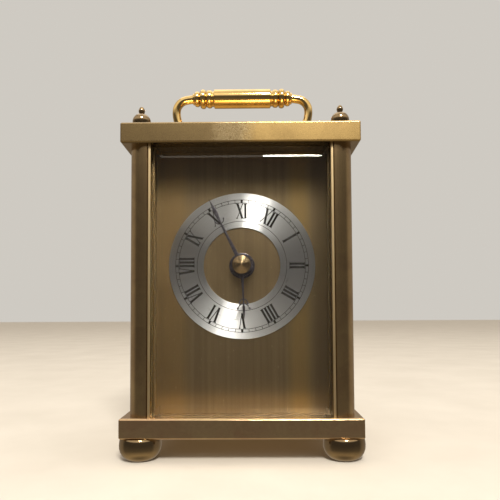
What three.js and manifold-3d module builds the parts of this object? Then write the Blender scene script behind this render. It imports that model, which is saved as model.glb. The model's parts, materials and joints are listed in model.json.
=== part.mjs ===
// Mantel clock of the carriage-clock kind: a brass case of two plates and four pillars,
// a swinging handle, a bevelled front glass, a quartz movement and a hinged rear door.
// Millimetres. +X is the clock's right side seen from the front, +Y the back, +Z up.
// The origin is on the ground, under the centre of the case.
import * as THREE from 'three';
import { mergeVertices } from 'three/addons/utils/BufferGeometryUtils.js';
import Module from 'manifold-3d';

const wasm = await Module();
wasm.setup();

// ---- driving dimensions -------------------------------------------------------------
const PLATE_WIDTH = 94;          // base and top plate, side to side
const PLATE_DEPTH = 74;          // base and top plate, front to back
const PLATE_CHAMFER = 0.5;
const BASE_THICKNESS = 7.9;
const TOP_THICKNESS = 8.2;
const FOOT_HEIGHT = 8.9;
const FOOT_RADIUS = 8.2;
const PILLAR_HEIGHT = 106.8;
const PILLAR_SIDE = 9.4;         // square section before its outer corner is rounded
const PILLAR_CORNER = 7.9;
const OVERHANG = 2.25;           // plates beyond the pillars, front, back and sides
const FINIAL_RADIUS = 3.65;
const FINIAL_HEIGHT = 8.9;
const STUD_RADIUS = 1.5;         // threaded studs of the feet, finials and handle posts
const STUD_GRIP = 7;             // how far a stud enters a pillar
const HOLE_PLAY = 0.12;
const GAP = 0.1;                 // between fixed neighbours

const GLASS_THICKNESS = 3;
const GLASS_EDGE = 1.9;          // thickness left at the foot of the bevel
const GLASS_BEVEL = 4.6;
const GLASS_SETBACK = 2.1;       // pillar front to glass front
const GROOVE_DEPTH = 1;
const PANEL_THICKNESS = 1.2;
const PANEL_SETBACK = 3.65;      // pillar side to the side panel's outer face
const DIAL_SETBACK = 18.7;       // plate front edge to the dial plate's front face
const DIAL_THICKNESS = 1;
const DIAL_FLANGE = 0.8;
const DIAL_GROOVE_DEPTH = 1;      // in the plates, for the dial plate's tongues

const HAND_AXIS_HEIGHT = 76.7;   // above the ground
const RING_OUTER = 30.7;
const RING_INNER = 16.1;
const RING_THICKNESS = 0.6;
const MINUTE_HAND_LENGTH = 30.5;
const HOUR_HAND_LENGTH = 22.4;
const HAND_THICKNESS = 0.4;
const MINUTE_HAND_REST = -26.3;  // degrees clockwise from the top
const HOUR_HAND_REST = 177.5;

const HANDLE_PIVOT_HEIGHT = 5.2; // above the top plate
const HANDLE_GRIP_HEIGHT = 24.7; // grip centre above the top plate
const GRIP_RADIUS = 4.25;
const GRIP_HALF = 13;            // plain part of the grip
const BEAD_RADIUS = 4.5;
const ARM_RADIUS = 1.9;
const ARM_SPREAD = 30.75;        // widest place of an arm's centre line
const ARM_EYE_X = 27.9;
const ARM_EYE_RADIUS = 3.7;
const ARM_EYE_THICKNESS = 3.8;
const POST_THICKNESS = 3.6;
const POST_STUD = 5;             // length of a post's stud in the top plate
const POST_HALF_WIDTH = 3.2;
const SCREW_RADIUS = 1.4;

const DOOR_THICKNESS = 2.4;
const DOOR_SETBACK = 0.65;       // pillar back to door back
const DOOR_PIN_RADIUS = 0.7;
const DOOR_PIN_INSET = 1.75;     // pillar's inner face to the hinge axis
const DOOR_PIN_REACH = 3;        // how far a pin enters a plate
const DOOR_PIN_LENGTH = 7;
const DOOR_GAP = 0.3;

const MOVEMENT_SIDE = 56;
const MOVEMENT_DEPTH = 15.5;
const MOVEMENT_WALL = 1.2;
const COVER_THICKNESS = 1.5;
const WHEEL_DISTANCE = 12;       // between meshing wheels' axes
const SPINDLE_RADIUS = 0.75;     // of the setting knob
const PIVOT_RADIUS = 0.5;        // of the third and seconds wheels
const PIVOT_PLAY = 0.1;
const KNOB_RADIUS = 4.9;
const BATTERY_RADIUS = 7.1;
const BATTERY_LENGTH = 49.2;

// ---- heights and planes worked out from them ------------------------------------------
const BASE_TOP = FOOT_HEIGHT + BASE_THICKNESS;
const TOP_UNDER = BASE_TOP + PILLAR_HEIGHT;
const TOP_TOP = TOP_UNDER + TOP_THICKNESS;
const PILLAR_OUT_X = PLATE_WIDTH / 2 - OVERHANG;
const PILLAR_OUT_Y = PLATE_DEPTH / 2 - OVERHANG;
const PILLAR_IN_X = PILLAR_OUT_X - PILLAR_SIDE;
const PILLAR_IN_Y = PILLAR_OUT_Y - PILLAR_SIDE;
const STUD_X = PILLAR_IN_X + PILLAR_SIDE / 2;
const STUD_Y = PILLAR_IN_Y + PILLAR_SIDE / 2;
const GLASS_FRONT = -(PILLAR_OUT_Y - GLASS_SETBACK);
const GLASS_BACK = GLASS_FRONT + GLASS_THICKNESS;
const DIAL_FRONT = -(PLATE_DEPTH / 2 - DIAL_SETBACK);
const DIAL_BACK = DIAL_FRONT + DIAL_THICKNESS;
const PANEL_OUT_X = PILLAR_OUT_X - PANEL_SETBACK;
const DOOR_BACK = PILLAR_OUT_Y - DOOR_SETBACK;
const DOOR_FRONT = DOOR_BACK - DOOR_THICKNESS;
const DOOR_PIN_X = PILLAR_IN_X - DOOR_PIN_INSET;
const DOOR_PIN_Y = (DOOR_FRONT + DOOR_BACK) / 2;
const PIVOT_Z = TOP_TOP + HANDLE_PIVOT_HEIGHT;
const POST_OUTER = ARM_EYE_X - ARM_EYE_THICKNESS / 2 - 2 * GAP;
const POST_X = [POST_OUTER - POST_THICKNESS, POST_OUTER];
const POST_MIDDLE = POST_OUTER - POST_THICKNESS / 2;
const MOVEMENT_FRONT = DIAL_BACK + GAP;
const MOVEMENT_BACK = MOVEMENT_FRONT + MOVEMENT_DEPTH;
const COVER_FRONT = MOVEMENT_BACK - COVER_THICKNESS;
const MOVEMENT_LOW = HAND_AXIS_HEIGHT - MOVEMENT_SIDE / 2;
const BATTERY_Z = MOVEMENT_LOW + MOVEMENT_WALL + BATTERY_RADIUS + 0.2;
const BATTERY_Y = MOVEMENT_BACK - BATTERY_RADIUS - 0.1;
const BAY_TOP = BATTERY_Z + BATTERY_RADIUS + 0.2;

// ---- finishes ---------------------------------------------------------------------------
const finish = (color, roughness, metalness) => ({ color, roughness, metalness });
const BRASS = finish(0xc9a04a, 0.28, 1);
const BRUSHED_BRASS = finish(0xb8924a, 0.42, 1);
const SILVERED = finish(0xb9b6ad, 0.4, 1);
const BLACK_METAL = finish(0x17161a, 0.35, 0.6);
const STEEL = finish(0xa8a8a6, 0.35, 1);
const BLACK_PLASTIC = finish(0x1d1d1f, 0.55, 0);
const WHITE_PLASTIC = finish(0xe8e6dc, 0.5, 0);
const GREEN_BOARD = finish(0x1f5a34, 0.6, 0);
const COPPER = finish(0xb06a3a, 0.35, 1);
const CELL_SLEEVE = finish(0x5a6470, 0.45, 0.2);
const CLEAR_GLASS = finish(0xdfe8e6, 0.05, 0);

// ---- solids -----------------------------------------------------------------------------
// Leaves only position, merges shared vertices, drops empty triangles and faces outwards.
function closed(geometry) {
  const bare = geometry.clone();
  bare.deleteAttribute('normal');
  bare.deleteAttribute('uv');
  const merged = mergeVertices(bare, 1e-4);
  const index = merged.index.array;
  const position = merged.attributes.position;
  const corner = (i) => new THREE.Vector3().fromBufferAttribute(position, i);
  const kept = [];
  let volume = 0;
  for (let i = 0; i < index.length; i += 3) {
    const [a, b, c] = [index[i], index[i + 1], index[i + 2]];
    if (a === b || b === c || c === a) continue;
    kept.push(a, b, c);
    volume += corner(a).dot(corner(b).cross(corner(c)));
  }
  if (volume < 0) kept.reverse();
  merged.setIndex(kept);
  return merged;
}

function toManifold(geometry) {
  const body = closed(geometry);
  return new wasm.Manifold(new wasm.Mesh({
    numProp: 3,
    vertProperties: new Float32Array(body.attributes.position.array),
    triVerts: new Uint32Array(body.index.array),
  }));
}

function fromManifold(manifold) {
  const mesh = manifold.getMesh();
  const geometry = new THREE.BufferGeometry();
  geometry.setAttribute('position', new THREE.BufferAttribute(mesh.vertProperties, 3));
  geometry.setIndex(new THREE.BufferAttribute(mesh.triVerts, 1));
  return geometry;
}

function cut(geometry, ...tools) {
  return fromManifold(tools.reduce((left, tool) => left.subtract(toManifold(tool)), toManifold(geometry)));
}

function join(...pieces) {
  return fromManifold(pieces.map(toManifold).reduce((sum, piece) => sum.add(piece)));
}

function boxBetween(low, high) {
  const size = high.map((value, i) => value - low[i]);
  return new THREE.BoxGeometry(...size)
    .translate(...low.map((value, i) => value + size[i] / 2));
}

// Cylinders along each axis, between two stations, around a centre in the other two axes.
function rodX(radius, from, to, y, z, sides = 20) {
  return new THREE.CylinderGeometry(radius, radius, to - from, sides)
    .rotateZ(-Math.PI / 2).translate((from + to) / 2, y, z);
}

function rodY(radius, from, to, x, z, sides = 24) {
  return new THREE.CylinderGeometry(radius, radius, to - from, sides)
    .translate(x, (from + to) / 2, z);
}

function rodZ(radius, from, to, x, y, sides = 16) {
  return new THREE.CylinderGeometry(radius, radius, to - from, sides)
    .rotateX(Math.PI / 2).translate(x, y, (from + to) / 2);
}

// Turned solids: a profile of [radius, station] pairs spun about the named axis.
const turnedY = (profile, sides = 24) =>
  new THREE.LatheGeometry(profile.map(([r, s]) => new THREE.Vector2(r, s)), sides);
const turnedZ = (profile, sides = 24) => turnedY(profile, sides).rotateX(Math.PI / 2);
const turnedX = (profile, sides = 24) => turnedY(profile, sides).rotateZ(-Math.PI / 2);

// A flat piece drawn as seen from the front, filling the space between two depths.
function slab(shape, front, back, curveSegments = 12) {
  return new THREE.ExtrudeGeometry(shape, { depth: back - front, bevelEnabled: false, curveSegments })
    .rotateX(Math.PI / 2).translate(0, back, 0);
}

// A bead's outline between two stations: half an ellipse bulging from the neck radius.
function bead(from, to, neck, crown, steps = 3) {
  return Array.from({ length: steps + 1 }, (_, i) => {
    const turn = (Math.PI * i) / steps;
    return [
      neck + (crown - neck) * Math.sin(turn),
      (from + to) / 2 - ((to - from) / 2) * Math.cos(turn),
    ];
  });
}

// ---- case -------------------------------------------------------------------------------
function plate(thickness, low) {
  const w = PLATE_WIDTH / 2 - PLATE_CHAMFER;
  const d = PLATE_DEPTH / 2 - PLATE_CHAMFER;
  const outline = new THREE.Shape([
    new THREE.Vector2(-w, -d), new THREE.Vector2(w, -d),
    new THREE.Vector2(w, d), new THREE.Vector2(-w, d),
  ]);
  return new THREE.ExtrudeGeometry(outline, {
    depth: thickness - 2 * PLATE_CHAMFER,
    bevelThickness: PLATE_CHAMFER,
    bevelSize: PLATE_CHAMFER,
    bevelSegments: 1,
  }).translate(0, 0, low + PLATE_CHAMFER);
}

const corners = [
  ['front_left', -1, -1], ['front_right', 1, -1],
  ['rear_left', -1, 1], ['rear_right', 1, 1],
];

const cornerHoles = (low, high) => corners.map(([, sx, sy]) =>
  rodZ(STUD_RADIUS + HOLE_PLAY, low, high, sx * STUD_X, sy * STUD_Y));

function dialGroove(low, high) {
  const reach = PILLAR_IN_X;
  return boxBetween([-reach, DIAL_FRONT - GAP, low], [reach, DIAL_BACK + GAP, high]);
}

function basePlate() {
  return cut(
    plate(BASE_THICKNESS, FOOT_HEIGHT),
    ...cornerHoles(FOOT_HEIGHT - 1, BASE_TOP + 1),
    dialGroove(BASE_TOP - DIAL_GROOVE_DEPTH, BASE_TOP + 1),
    rodZ(DOOR_PIN_RADIUS + 0.1, BASE_TOP - DOOR_PIN_REACH - 0.4, BASE_TOP + 1, DOOR_PIN_X, DOOR_PIN_Y),
  );
}

function topPlate() {
  const postHoles = [-1, 1].map((side) =>
    rodZ(STUD_RADIUS + HOLE_PLAY, TOP_TOP - POST_STUD - 0.4, TOP_TOP + 1, side * POST_MIDDLE, 0));
  return cut(
    plate(TOP_THICKNESS, TOP_UNDER),
    ...cornerHoles(TOP_UNDER - 1, TOP_TOP + 1),
    ...postHoles,
    dialGroove(TOP_UNDER - 1, TOP_UNDER + DIAL_GROOVE_DEPTH),
    rodZ(DOOR_PIN_RADIUS + 0.1, TOP_UNDER - 1, TOP_UNDER + DOOR_PIN_REACH + 0.4, DOOR_PIN_X, DOOR_PIN_Y),
  );
}

// The pillar's section from its inner corner at (0, 0): grooves for glass and side panel,
// a flat fillet beside each, and a rounded outer corner.
function pillarSection() {
  const s = PILLAR_SIDE;
  const fillet = 1.1;
  const nick = 0.35;
  const panel = [s - PANEL_SETBACK - PANEL_THICKNESS - 0.05, s - PANEL_SETBACK + 0.05];
  const paneBack = s - GLASS_SETBACK - GLASS_THICKNESS;
  const glass = [paneBack - 0.05, paneBack + GLASS_EDGE + 0.35];
  const section = new THREE.Shape();
  section.moveTo(0, 0);
  section.lineTo(panel[0], 0);
  section.lineTo(panel[0], GROOVE_DEPTH);
  section.lineTo(panel[1], GROOVE_DEPTH);
  section.lineTo(panel[1], 0);
  section.lineTo(s, 0);
  section.lineTo(s, fillet);
  section.lineTo(s - nick, fillet + nick / 2);
  section.lineTo(s - nick / 3, fillet + nick);
  section.absarc(s - PILLAR_CORNER, s - PILLAR_CORNER, PILLAR_CORNER, 0, Math.PI / 2, false);
  section.lineTo(fillet + nick, s - nick / 3);
  section.lineTo(fillet + nick / 2, s - nick);
  section.lineTo(fillet, s);
  section.lineTo(0, s);
  section.lineTo(0, glass[1]);
  section.lineTo(GROOVE_DEPTH, glass[1]);
  section.lineTo(GROOVE_DEPTH, glass[0]);
  section.lineTo(0, glass[0]);
  return section;
}

function pillar(sx, sy) {
  const bar = new THREE.ExtrudeGeometry(pillarSection(),
    { depth: PILLAR_HEIGHT, bevelEnabled: false, curveSegments: 7 });
  const middle = PILLAR_SIDE / 2;
  const hole = (from, to) => rodZ(STUD_RADIUS + HOLE_PLAY, from, to, middle, middle);
  return cut(bar, hole(-1, STUD_GRIP + 1), hole(PILLAR_HEIGHT - STUD_GRIP - 1, PILLAR_HEIGHT + 1))
    .scale(sx, sy, 1)
    .translate(sx * PILLAR_IN_X, sy * PILLAR_IN_Y, BASE_TOP);
}

function foot() {
  return turnedZ([
    [0, 0], [3.8, 0], [5.7, 1.2], [7.1, 2.6], [7.9, 4], [FOOT_RADIUS, 5.4], [8.1, 7.1],
    [7.7, FOOT_HEIGHT], [STUD_RADIUS, FOOT_HEIGHT], [STUD_RADIUS, BASE_TOP + STUD_GRIP],
    [0, BASE_TOP + STUD_GRIP],
  ], 20);
}

function finial() {
  const stud = TOP_THICKNESS + STUD_GRIP;
  return turnedZ([
    [0, -stud], [STUD_RADIUS, -stud], [STUD_RADIUS, 0], [3.1, 0], [3.55, 1.2], [FINIAL_RADIUS, 2.6],
    [3.2, 4.2], [2.4, 5.1], [1.2, 5.8], [0.85, 6.2], [1.15, 7.2], [0.8, 8.3], [0, FINIAL_HEIGHT],
  ], 16);
}

function frontGlass() {
  const halfWidth = PILLAR_IN_X + GROOVE_DEPTH - GAP;
  const halfHeight = PILLAR_HEIGHT / 2 - GAP;
  const drop = GLASS_THICKNESS - GLASS_EDGE;
  const w = halfWidth - GLASS_BEVEL;
  const h = halfHeight - GLASS_BEVEL;
  const face = new THREE.Shape([
    new THREE.Vector2(-w, -h), new THREE.Vector2(w, -h),
    new THREE.Vector2(w, h), new THREE.Vector2(-w, h),
  ]);
  const blank = new THREE.ExtrudeGeometry(face, {
    depth: 2 * GLASS_EDGE, bevelThickness: drop, bevelSize: GLASS_BEVEL, bevelSegments: 1,
  }).rotateX(Math.PI / 2).translate(0, GLASS_FRONT + drop + 2 * GLASS_EDGE, BASE_TOP + PILLAR_HEIGHT / 2);
  return cut(blank, boxBetween([-60, GLASS_BACK, 0], [60, 0, 200]));
}

function sidePanel(side) {
  const reach = PILLAR_IN_Y + GROOVE_DEPTH - GAP;
  const [inner, outer] = [PANEL_OUT_X - PANEL_THICKNESS, PANEL_OUT_X];
  const low = [side > 0 ? inner : -outer, -reach, BASE_TOP + GAP];
  const high = [side > 0 ? outer : -inner, reach, TOP_UNDER - GAP];
  return boxBetween(low, high);
}

// ---- dial -------------------------------------------------------------------------------
const BUSH_RADIUS = 3.9;

// A sheet with two flanges turned forward to the glass and a tongue at its top and bottom.
function dialPlate() {
  const half = PILLAR_IN_X - 0.1;
  const low = BASE_TOP + GAP;
  const high = TOP_UNDER - GAP;
  const tongue = DIAL_GROOVE_DEPTH - 2 * GAP;
  const sheet = boxBetween([-half, DIAL_FRONT, low - tongue], [half, DIAL_BACK, high + tongue]);
  const flange = (side) => boxBetween(
    [side > 0 ? half - DIAL_FLANGE : -half, GLASS_BACK + 0.3, low],
    [side > 0 ? half : DIAL_FLANGE - half, DIAL_BACK, high]);
  return cut(join(sheet, flange(-1), flange(1)),
    rodY(BUSH_RADIUS + HOLE_PLAY, DIAL_FRONT - 1, DIAL_BACK + 1, 0, HAND_AXIS_HEIGHT));
}

function chapterRing() {
  const back = DIAL_FRONT - 0.05;
  const front = back - RING_THICKNESS;
  return cut(rodY(RING_OUTER, front, back, 0, HAND_AXIS_HEIGHT, 48),
    rodY(RING_INNER, front - 1, back + 1, 0, HAND_AXIS_HEIGHT, 40));
}

const WASHER_FRONT = DIAL_FRONT - 0.5;
const NUT_FRONT = WASHER_FRONT - 2.1;
const BUSH_FRONT = NUT_FRONT - 0.6;
const HOUR_HAND_BACK = BUSH_FRONT - 0.6;
const HOUR_HAND_FRONT = HOUR_HAND_BACK - HAND_THICKNESS;
const MINUTE_HAND_BACK = HOUR_HAND_FRONT - 1.5;
const MINUTE_HAND_FRONT = MINUTE_HAND_BACK - HAND_THICKNESS;
const CAP_BACK = MINUTE_HAND_FRONT - 0.05;
const CAP_HEIGHT = 3.1;
const CAP_RADIUS = 3.8;
const ARBOR_RADIUS = 1.4;
const TUBE_BORE = 1.6;
const TUBE_RADIUS = 2.5;

function fixingWasher() {
  return cut(rodY(5.4, WASHER_FRONT, DIAL_FRONT - 0.02, 0, HAND_AXIS_HEIGHT),
    rodY(BUSH_RADIUS + HOLE_PLAY, WASHER_FRONT - 1, DIAL_FRONT + 1, 0, HAND_AXIS_HEIGHT));
}

function fixingNut() {
  return cut(rodY(5.2, NUT_FRONT, WASHER_FRONT - 0.02, 0, HAND_AXIS_HEIGHT, 6),
    rodY(BUSH_RADIUS + HOLE_PLAY, NUT_FRONT - 1, WASHER_FRONT + 1, 0, HAND_AXIS_HEIGHT));
}

// Outlines of a hand that points up from its pivot: a tapering stem and a leaf-shaped tip.
function stem(from, to, halfFrom, halfTo) {
  return new THREE.Shape([
    new THREE.Vector2(-halfFrom, from), new THREE.Vector2(halfFrom, from),
    new THREE.Vector2(halfTo, to), new THREE.Vector2(-halfTo, to),
  ]);
}

function leaf(from, widest, tip, half) {
  const outline = new THREE.Shape();
  outline.moveTo(0, from);
  outline.quadraticCurveTo(half, (from + widest) / 2, half, widest);
  outline.quadraticCurveTo(half * 0.5, (widest + tip) / 2, 0.12, tip);
  outline.lineTo(-0.12, tip);
  outline.quadraticCurveTo(-half * 0.5, (widest + tip) / 2, -half, widest);
  outline.quadraticCurveTo(-half, (from + widest) / 2, 0, from);
  return outline;
}

function scroll(x, y, outer, inner) {
  const ring = new THREE.Shape();
  ring.absarc(x, y, outer, 0, 2 * Math.PI, false);
  const eye = new THREE.Path();
  eye.absarc(x, y, inner, 0, 2 * Math.PI, true);
  ring.holes.push(eye);
  return ring;
}

function disc(radius) {
  const round = new THREE.Shape();
  round.absarc(0, 0, radius, 0, 2 * Math.PI, false);
  return round;
}

const hand = (shapes, bore) => cut(join(...shapes.map((shape) => slab(shape, -HAND_THICKNESS, 0, 4))),
  rodY(bore, -2, 1, 0, 0));

function hourHand() {
  const L = HOUR_HAND_LENGTH;
  const scrolls = [-1, 1].flatMap((side) => [
    scroll(side * 1.25, 0.66 * L, 1, 0.5),
    scroll(side * 1.7, 0.73 * L, 0.9, 0.4),
  ]);
  return hand([disc(4.5), stem(3, 0.7 * L, 0.75, 0.35), leaf(0.62 * L, 0.76 * L, L, 0.62), ...scrolls],
    TUBE_RADIUS + 0.02);
}

function minuteHand() {
  const L = MINUTE_HAND_LENGTH;
  const scrolls = [-1, 1].map((side) => scroll(side * 0.95, 0.64 * L, 0.75, 0.35));
  return hand([disc(3.6), stem(2.5, 0.66 * L, 0.7, 0.3), leaf(0.62 * L, 0.77 * L, L, 0.72), ...scrolls],
    ARBOR_RADIUS + 0.02);
}

function capNut() {
  const r = CAP_RADIUS;
  const bore = ARBOR_RADIUS + 0.05;
  return turnedY([
    [bore, CAP_BACK], [r, CAP_BACK], [r, CAP_BACK - 0.5], [0.35, CAP_BACK - CAP_HEIGHT],
    [0, CAP_BACK - CAP_HEIGHT - 0.05], [0, CAP_BACK - 1.4], [bore, CAP_BACK - 1.4], [bore, CAP_BACK],
  ]).translate(0, 0, HAND_AXIS_HEIGHT);
}

// ---- movement ---------------------------------------------------------------------------
// Wheel axes as [x, z]; the setting knob's axis is above the hands, the third wheel beside.
const HAND_AXIS = [0, HAND_AXIS_HEIGHT];
const SETTING_AXIS = [0, HAND_AXIS_HEIGHT + WHEEL_DISTANCE];
const THIRD_AXIS = [WHEEL_DISTANCE, HAND_AXIS_HEIGHT];
const HOUR_LEVEL = [MOVEMENT_FRONT + 1.7, MOVEMENT_FRONT + 2.7];
const MINUTE_LEVEL = [MOVEMENT_FRONT + 3.4, MOVEMENT_FRONT + 4.3];
const CENTRE_LEVEL = [MOVEMENT_FRONT + 6, MOVEMENT_FRONT + 6.9];
const THIRD_LEVEL = [MOVEMENT_FRONT + 8.6, MOVEMENT_FRONT + 9.5];
const SECONDS_LEVEL = [MOVEMENT_FRONT + 10.6, MOVEMENT_FRONT + 11.5];
const TEETH = {
  cannon: 12, minute: 36, minutePinion: 10, hour: 40,
  centre: 48, thirdPinion: 6, third: 45, secondsPinion: 6, seconds: 30,
};

// A toothed outline whose first tooth points along phase, with thin, short teeth.
function gearShape(teeth, module, phase) {
  const pitch = (teeth * module) / 2;
  const [root, tip] = [pitch - 0.85 * module, pitch + 0.65 * module];
  const step = (2 * Math.PI) / teeth;
  const flank = [[-0.24, root], [-0.11, tip], [0.11, tip], [0.24, root]];
  const points = Array.from({ length: teeth }, (_, i) => flank.map(([offset, radius]) => {
    const angle = phase + (i + offset) * step;
    return new THREE.Vector2(radius * Math.cos(angle), radius * Math.sin(angle));
  })).flat();
  return new THREE.Shape(points);
}

function gear(teeth, mates, level, [x, z], phase) {
  const module = (2 * WHEEL_DISTANCE) / (teeth + mates);
  return slab(gearShape(teeth, module, phase), ...level).translate(x, 0, z);
}

// Phase that puts a gap, not a tooth, along an angle.
const gapAt = (angle, teeth) => angle + Math.PI / teeth;

function minuteArbor() {
  return join(
    rodY(ARBOR_RADIUS, CAP_BACK - 1.2, CENTRE_LEVEL[1] + 0.8, ...HAND_AXIS),
    gear(TEETH.cannon, TEETH.minute, MINUTE_LEVEL, HAND_AXIS, Math.PI / 2));
}

function centreWheel() {
  return cut(gear(TEETH.centre, TEETH.thirdPinion, CENTRE_LEVEL, HAND_AXIS, 0),
    rodY(ARBOR_RADIUS + 0.03, CENTRE_LEVEL[0] - 1, CENTRE_LEVEL[1] + 1, ...HAND_AXIS));
}

function hourWheel() {
  const wheel = gear(TEETH.hour, TEETH.minutePinion, HOUR_LEVEL, HAND_AXIS, gapAt(Math.PI / 2, TEETH.hour));
  const tube = rodY(TUBE_RADIUS, HOUR_HAND_FRONT - 0.2, HOUR_LEVEL[0] + 0.5, ...HAND_AXIS);
  return cut(join(wheel, tube),
    rodY(TUBE_BORE, HOUR_HAND_FRONT - 1, HOUR_LEVEL[1] + 1, ...HAND_AXIS));
}

function minuteWheel() {
  const down = -Math.PI / 2;
  return join(
    gear(TEETH.minute, TEETH.cannon, MINUTE_LEVEL, SETTING_AXIS, gapAt(down, TEETH.minute)),
    gear(TEETH.minutePinion, TEETH.hour, [HOUR_LEVEL[0], MINUTE_LEVEL[0] + 0.3], SETTING_AXIS, down),
    rodY(SPINDLE_RADIUS, MOVEMENT_FRONT + MOVEMENT_WALL + 0.1, MOVEMENT_BACK + 2.5, ...SETTING_AXIS, 16));
}

function thirdWheel() {
  return join(
    gear(TEETH.thirdPinion, TEETH.centre, [CENTRE_LEVEL[0] - 0.3, THIRD_LEVEL[0] + 0.2], THIRD_AXIS,
      gapAt(Math.PI, TEETH.thirdPinion)),
    gear(TEETH.third, TEETH.secondsPinion, THIRD_LEVEL, THIRD_AXIS, Math.PI),
    rodY(PIVOT_RADIUS, CENTRE_LEVEL[0] - 1.4, COVER_FRONT + 0.7, ...THIRD_AXIS, 12));
}

function secondsWheel() {
  return join(
    gear(TEETH.secondsPinion, TEETH.third, [THIRD_LEVEL[0] - 0.3, SECONDS_LEVEL[0] + 0.2], HAND_AXIS,
      gapAt(0, TEETH.secondsPinion)),
    slab(gearShape(TEETH.seconds, 0.36, 0), ...SECONDS_LEVEL).translate(HAND_AXIS[0], 0, HAND_AXIS[1]),
    rodY(PIVOT_RADIUS, THIRD_LEVEL[0] - 0.5, COVER_FRONT + 0.7, ...HAND_AXIS, 12));
}

function settingKnob() {
  const grip = [];
  const flutes = 12;
  for (let i = 0; i < flutes * 2; i += 1) {
    const angle = (i * Math.PI) / flutes;
    const radius = i % 2 ? KNOB_RADIUS - 0.5 : KNOB_RADIUS;
    grip.push(new THREE.Vector2(radius * Math.cos(angle), radius * Math.sin(angle)));
  }
  const knob = slab(new THREE.Shape(grip), MOVEMENT_BACK + 0.4, MOVEMENT_BACK + 4.4)
    .translate(SETTING_AXIS[0], 0, SETTING_AXIS[1]);
  return cut(knob, rodY(SPINDLE_RADIUS + 0.05, MOVEMENT_BACK, MOVEMENT_BACK + 2.8, ...SETTING_AXIS, 16));
}

function movementCase() {
  const half = MOVEMENT_SIDE / 2;
  const high = HAND_AXIS_HEIGHT + half;
  const inside = half - MOVEMENT_WALL;
  const front = MOVEMENT_FRONT + MOVEMENT_WALL;
  const block = boxBetween([-half, MOVEMENT_FRONT, MOVEMENT_LOW], [half, MOVEMENT_BACK, high]);
  const bush = rodY(BUSH_RADIUS, BUSH_FRONT, MOVEMENT_FRONT + 0.5, ...HAND_AXIS);
  const trainRoom = boxBetween([-inside, front, BAY_TOP + MOVEMENT_WALL],
    [inside, MOVEMENT_BACK + 1, high - MOVEMENT_WALL]);
  const cellBay = boxBetween(
    [-inside, MOVEMENT_BACK - 2 * BATTERY_RADIUS - 0.3, MOVEMENT_LOW + MOVEMENT_WALL],
    [inside, MOVEMENT_BACK + 1, BAY_TOP]);
  return cut(join(block, bush), trainRoom, cellBay,
    rodY(TUBE_RADIUS + 0.1, BUSH_FRONT - 1, front + 1, ...HAND_AXIS));
}

function movementCover() {
  const inside = MOVEMENT_SIDE / 2 - MOVEMENT_WALL - GAP;
  const sheet = boxBetween([-inside, COVER_FRONT, BAY_TOP + MOVEMENT_WALL + GAP],
    [inside, MOVEMENT_BACK, HAND_AXIS_HEIGHT + inside]);
  return cut(sheet,
    rodY(SPINDLE_RADIUS + 0.15, COVER_FRONT - 1, MOVEMENT_BACK + 1, ...SETTING_AXIS, 16),
    rodY(PIVOT_RADIUS + PIVOT_PLAY, COVER_FRONT - 1, COVER_FRONT + 0.9, ...THIRD_AXIS, 12),
    rodY(PIVOT_RADIUS + PIVOT_PLAY, COVER_FRONT - 1, COVER_FRONT + 0.9, ...HAND_AXIS, 12));
}

const BOARD = { x: [-26.4, -13.6], z: [70, 103] };
const COIL = { low: 74, high: 100, cheek: 1.2, radius: 3.7, cheekRadius: 4.4 };

function circuitBoard() {
  const front = MOVEMENT_FRONT + MOVEMENT_WALL + 0.2;
  return boxBetween([BOARD.x[0], front, BOARD.z[0]], [BOARD.x[1], front + 1, BOARD.z[1]]);
}

// A wound bobbin: two cheeks and the coil between them, standing upright beside the train.
function driveCoil() {
  const [x, y] = [(BOARD.x[0] + BOARD.x[1]) / 2 - 1.4, MOVEMENT_FRONT + 8];
  const { low, high, cheek, radius, cheekRadius } = COIL;
  const profile = [
    [0, low], [cheekRadius, low], [cheekRadius, low + cheek], [radius, low + cheek],
    [radius, high - cheek], [cheekRadius, high - cheek], [cheekRadius, high], [0, high],
  ];
  return turnedZ(profile, 20).translate(x, y, 0);
}

// ---- battery ----------------------------------------------------------------------------
function battery() {
  const [half, r] = [BATTERY_LENGTH / 2 - 1, BATTERY_RADIUS];
  return turnedX([
    [0, -half], [r - 1, -half], [r - 0.4, -half + 0.2], [r, -half + 0.8], [r, half - 0.8],
    [r - 0.4, half - 0.2], [r - 1, half], [2.7, half], [2.6, half + 1], [0, half + 1],
  ]).translate(0, BATTERY_Y, BATTERY_Z);
}

function positiveContact() {
  const x = MOVEMENT_SIDE / 2 - MOVEMENT_WALL - 0.1;
  return boxBetween([x - 0.5, BATTERY_Y - 4, BATTERY_Z - 5], [x, BATTERY_Y + 4, BATTERY_Z + 5]);
}

// A coil spring that widens towards its plate on the bay's wall.
function negativeContact() {
  const wall = -(MOVEMENT_SIDE / 2 - MOVEMENT_WALL - 0.1);
  const turns = 2;
  const steps = 10;
  const points = Array.from({ length: turns * steps + 1 }, (_, i) => {
    const along = i / (turns * steps);
    const angle = along * turns * 2 * Math.PI;
    const radius = 4.2 - 1.6 * along;
    return new THREE.Vector3(wall + 0.6 + 1.5 * along, radius * Math.cos(angle), radius * Math.sin(angle));
  });
  const wire = new THREE.ExtrudeGeometry(disc(0.25), {
    steps: turns * steps,
    curveSegments: 3,
    bevelEnabled: false,
    extrudePath: new THREE.CatmullRomCurve3(points),
  }).translate(0, BATTERY_Y, BATTERY_Z);
  const back = boxBetween([wall, BATTERY_Y - 5, BATTERY_Z - 5], [wall + 0.5, BATTERY_Y + 5, BATTERY_Z + 5]);
  return join(back, wire);
}

// ---- handle -----------------------------------------------------------------------------
const GRIP_END = 23;
const ARM_SOCKET = 4;

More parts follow.
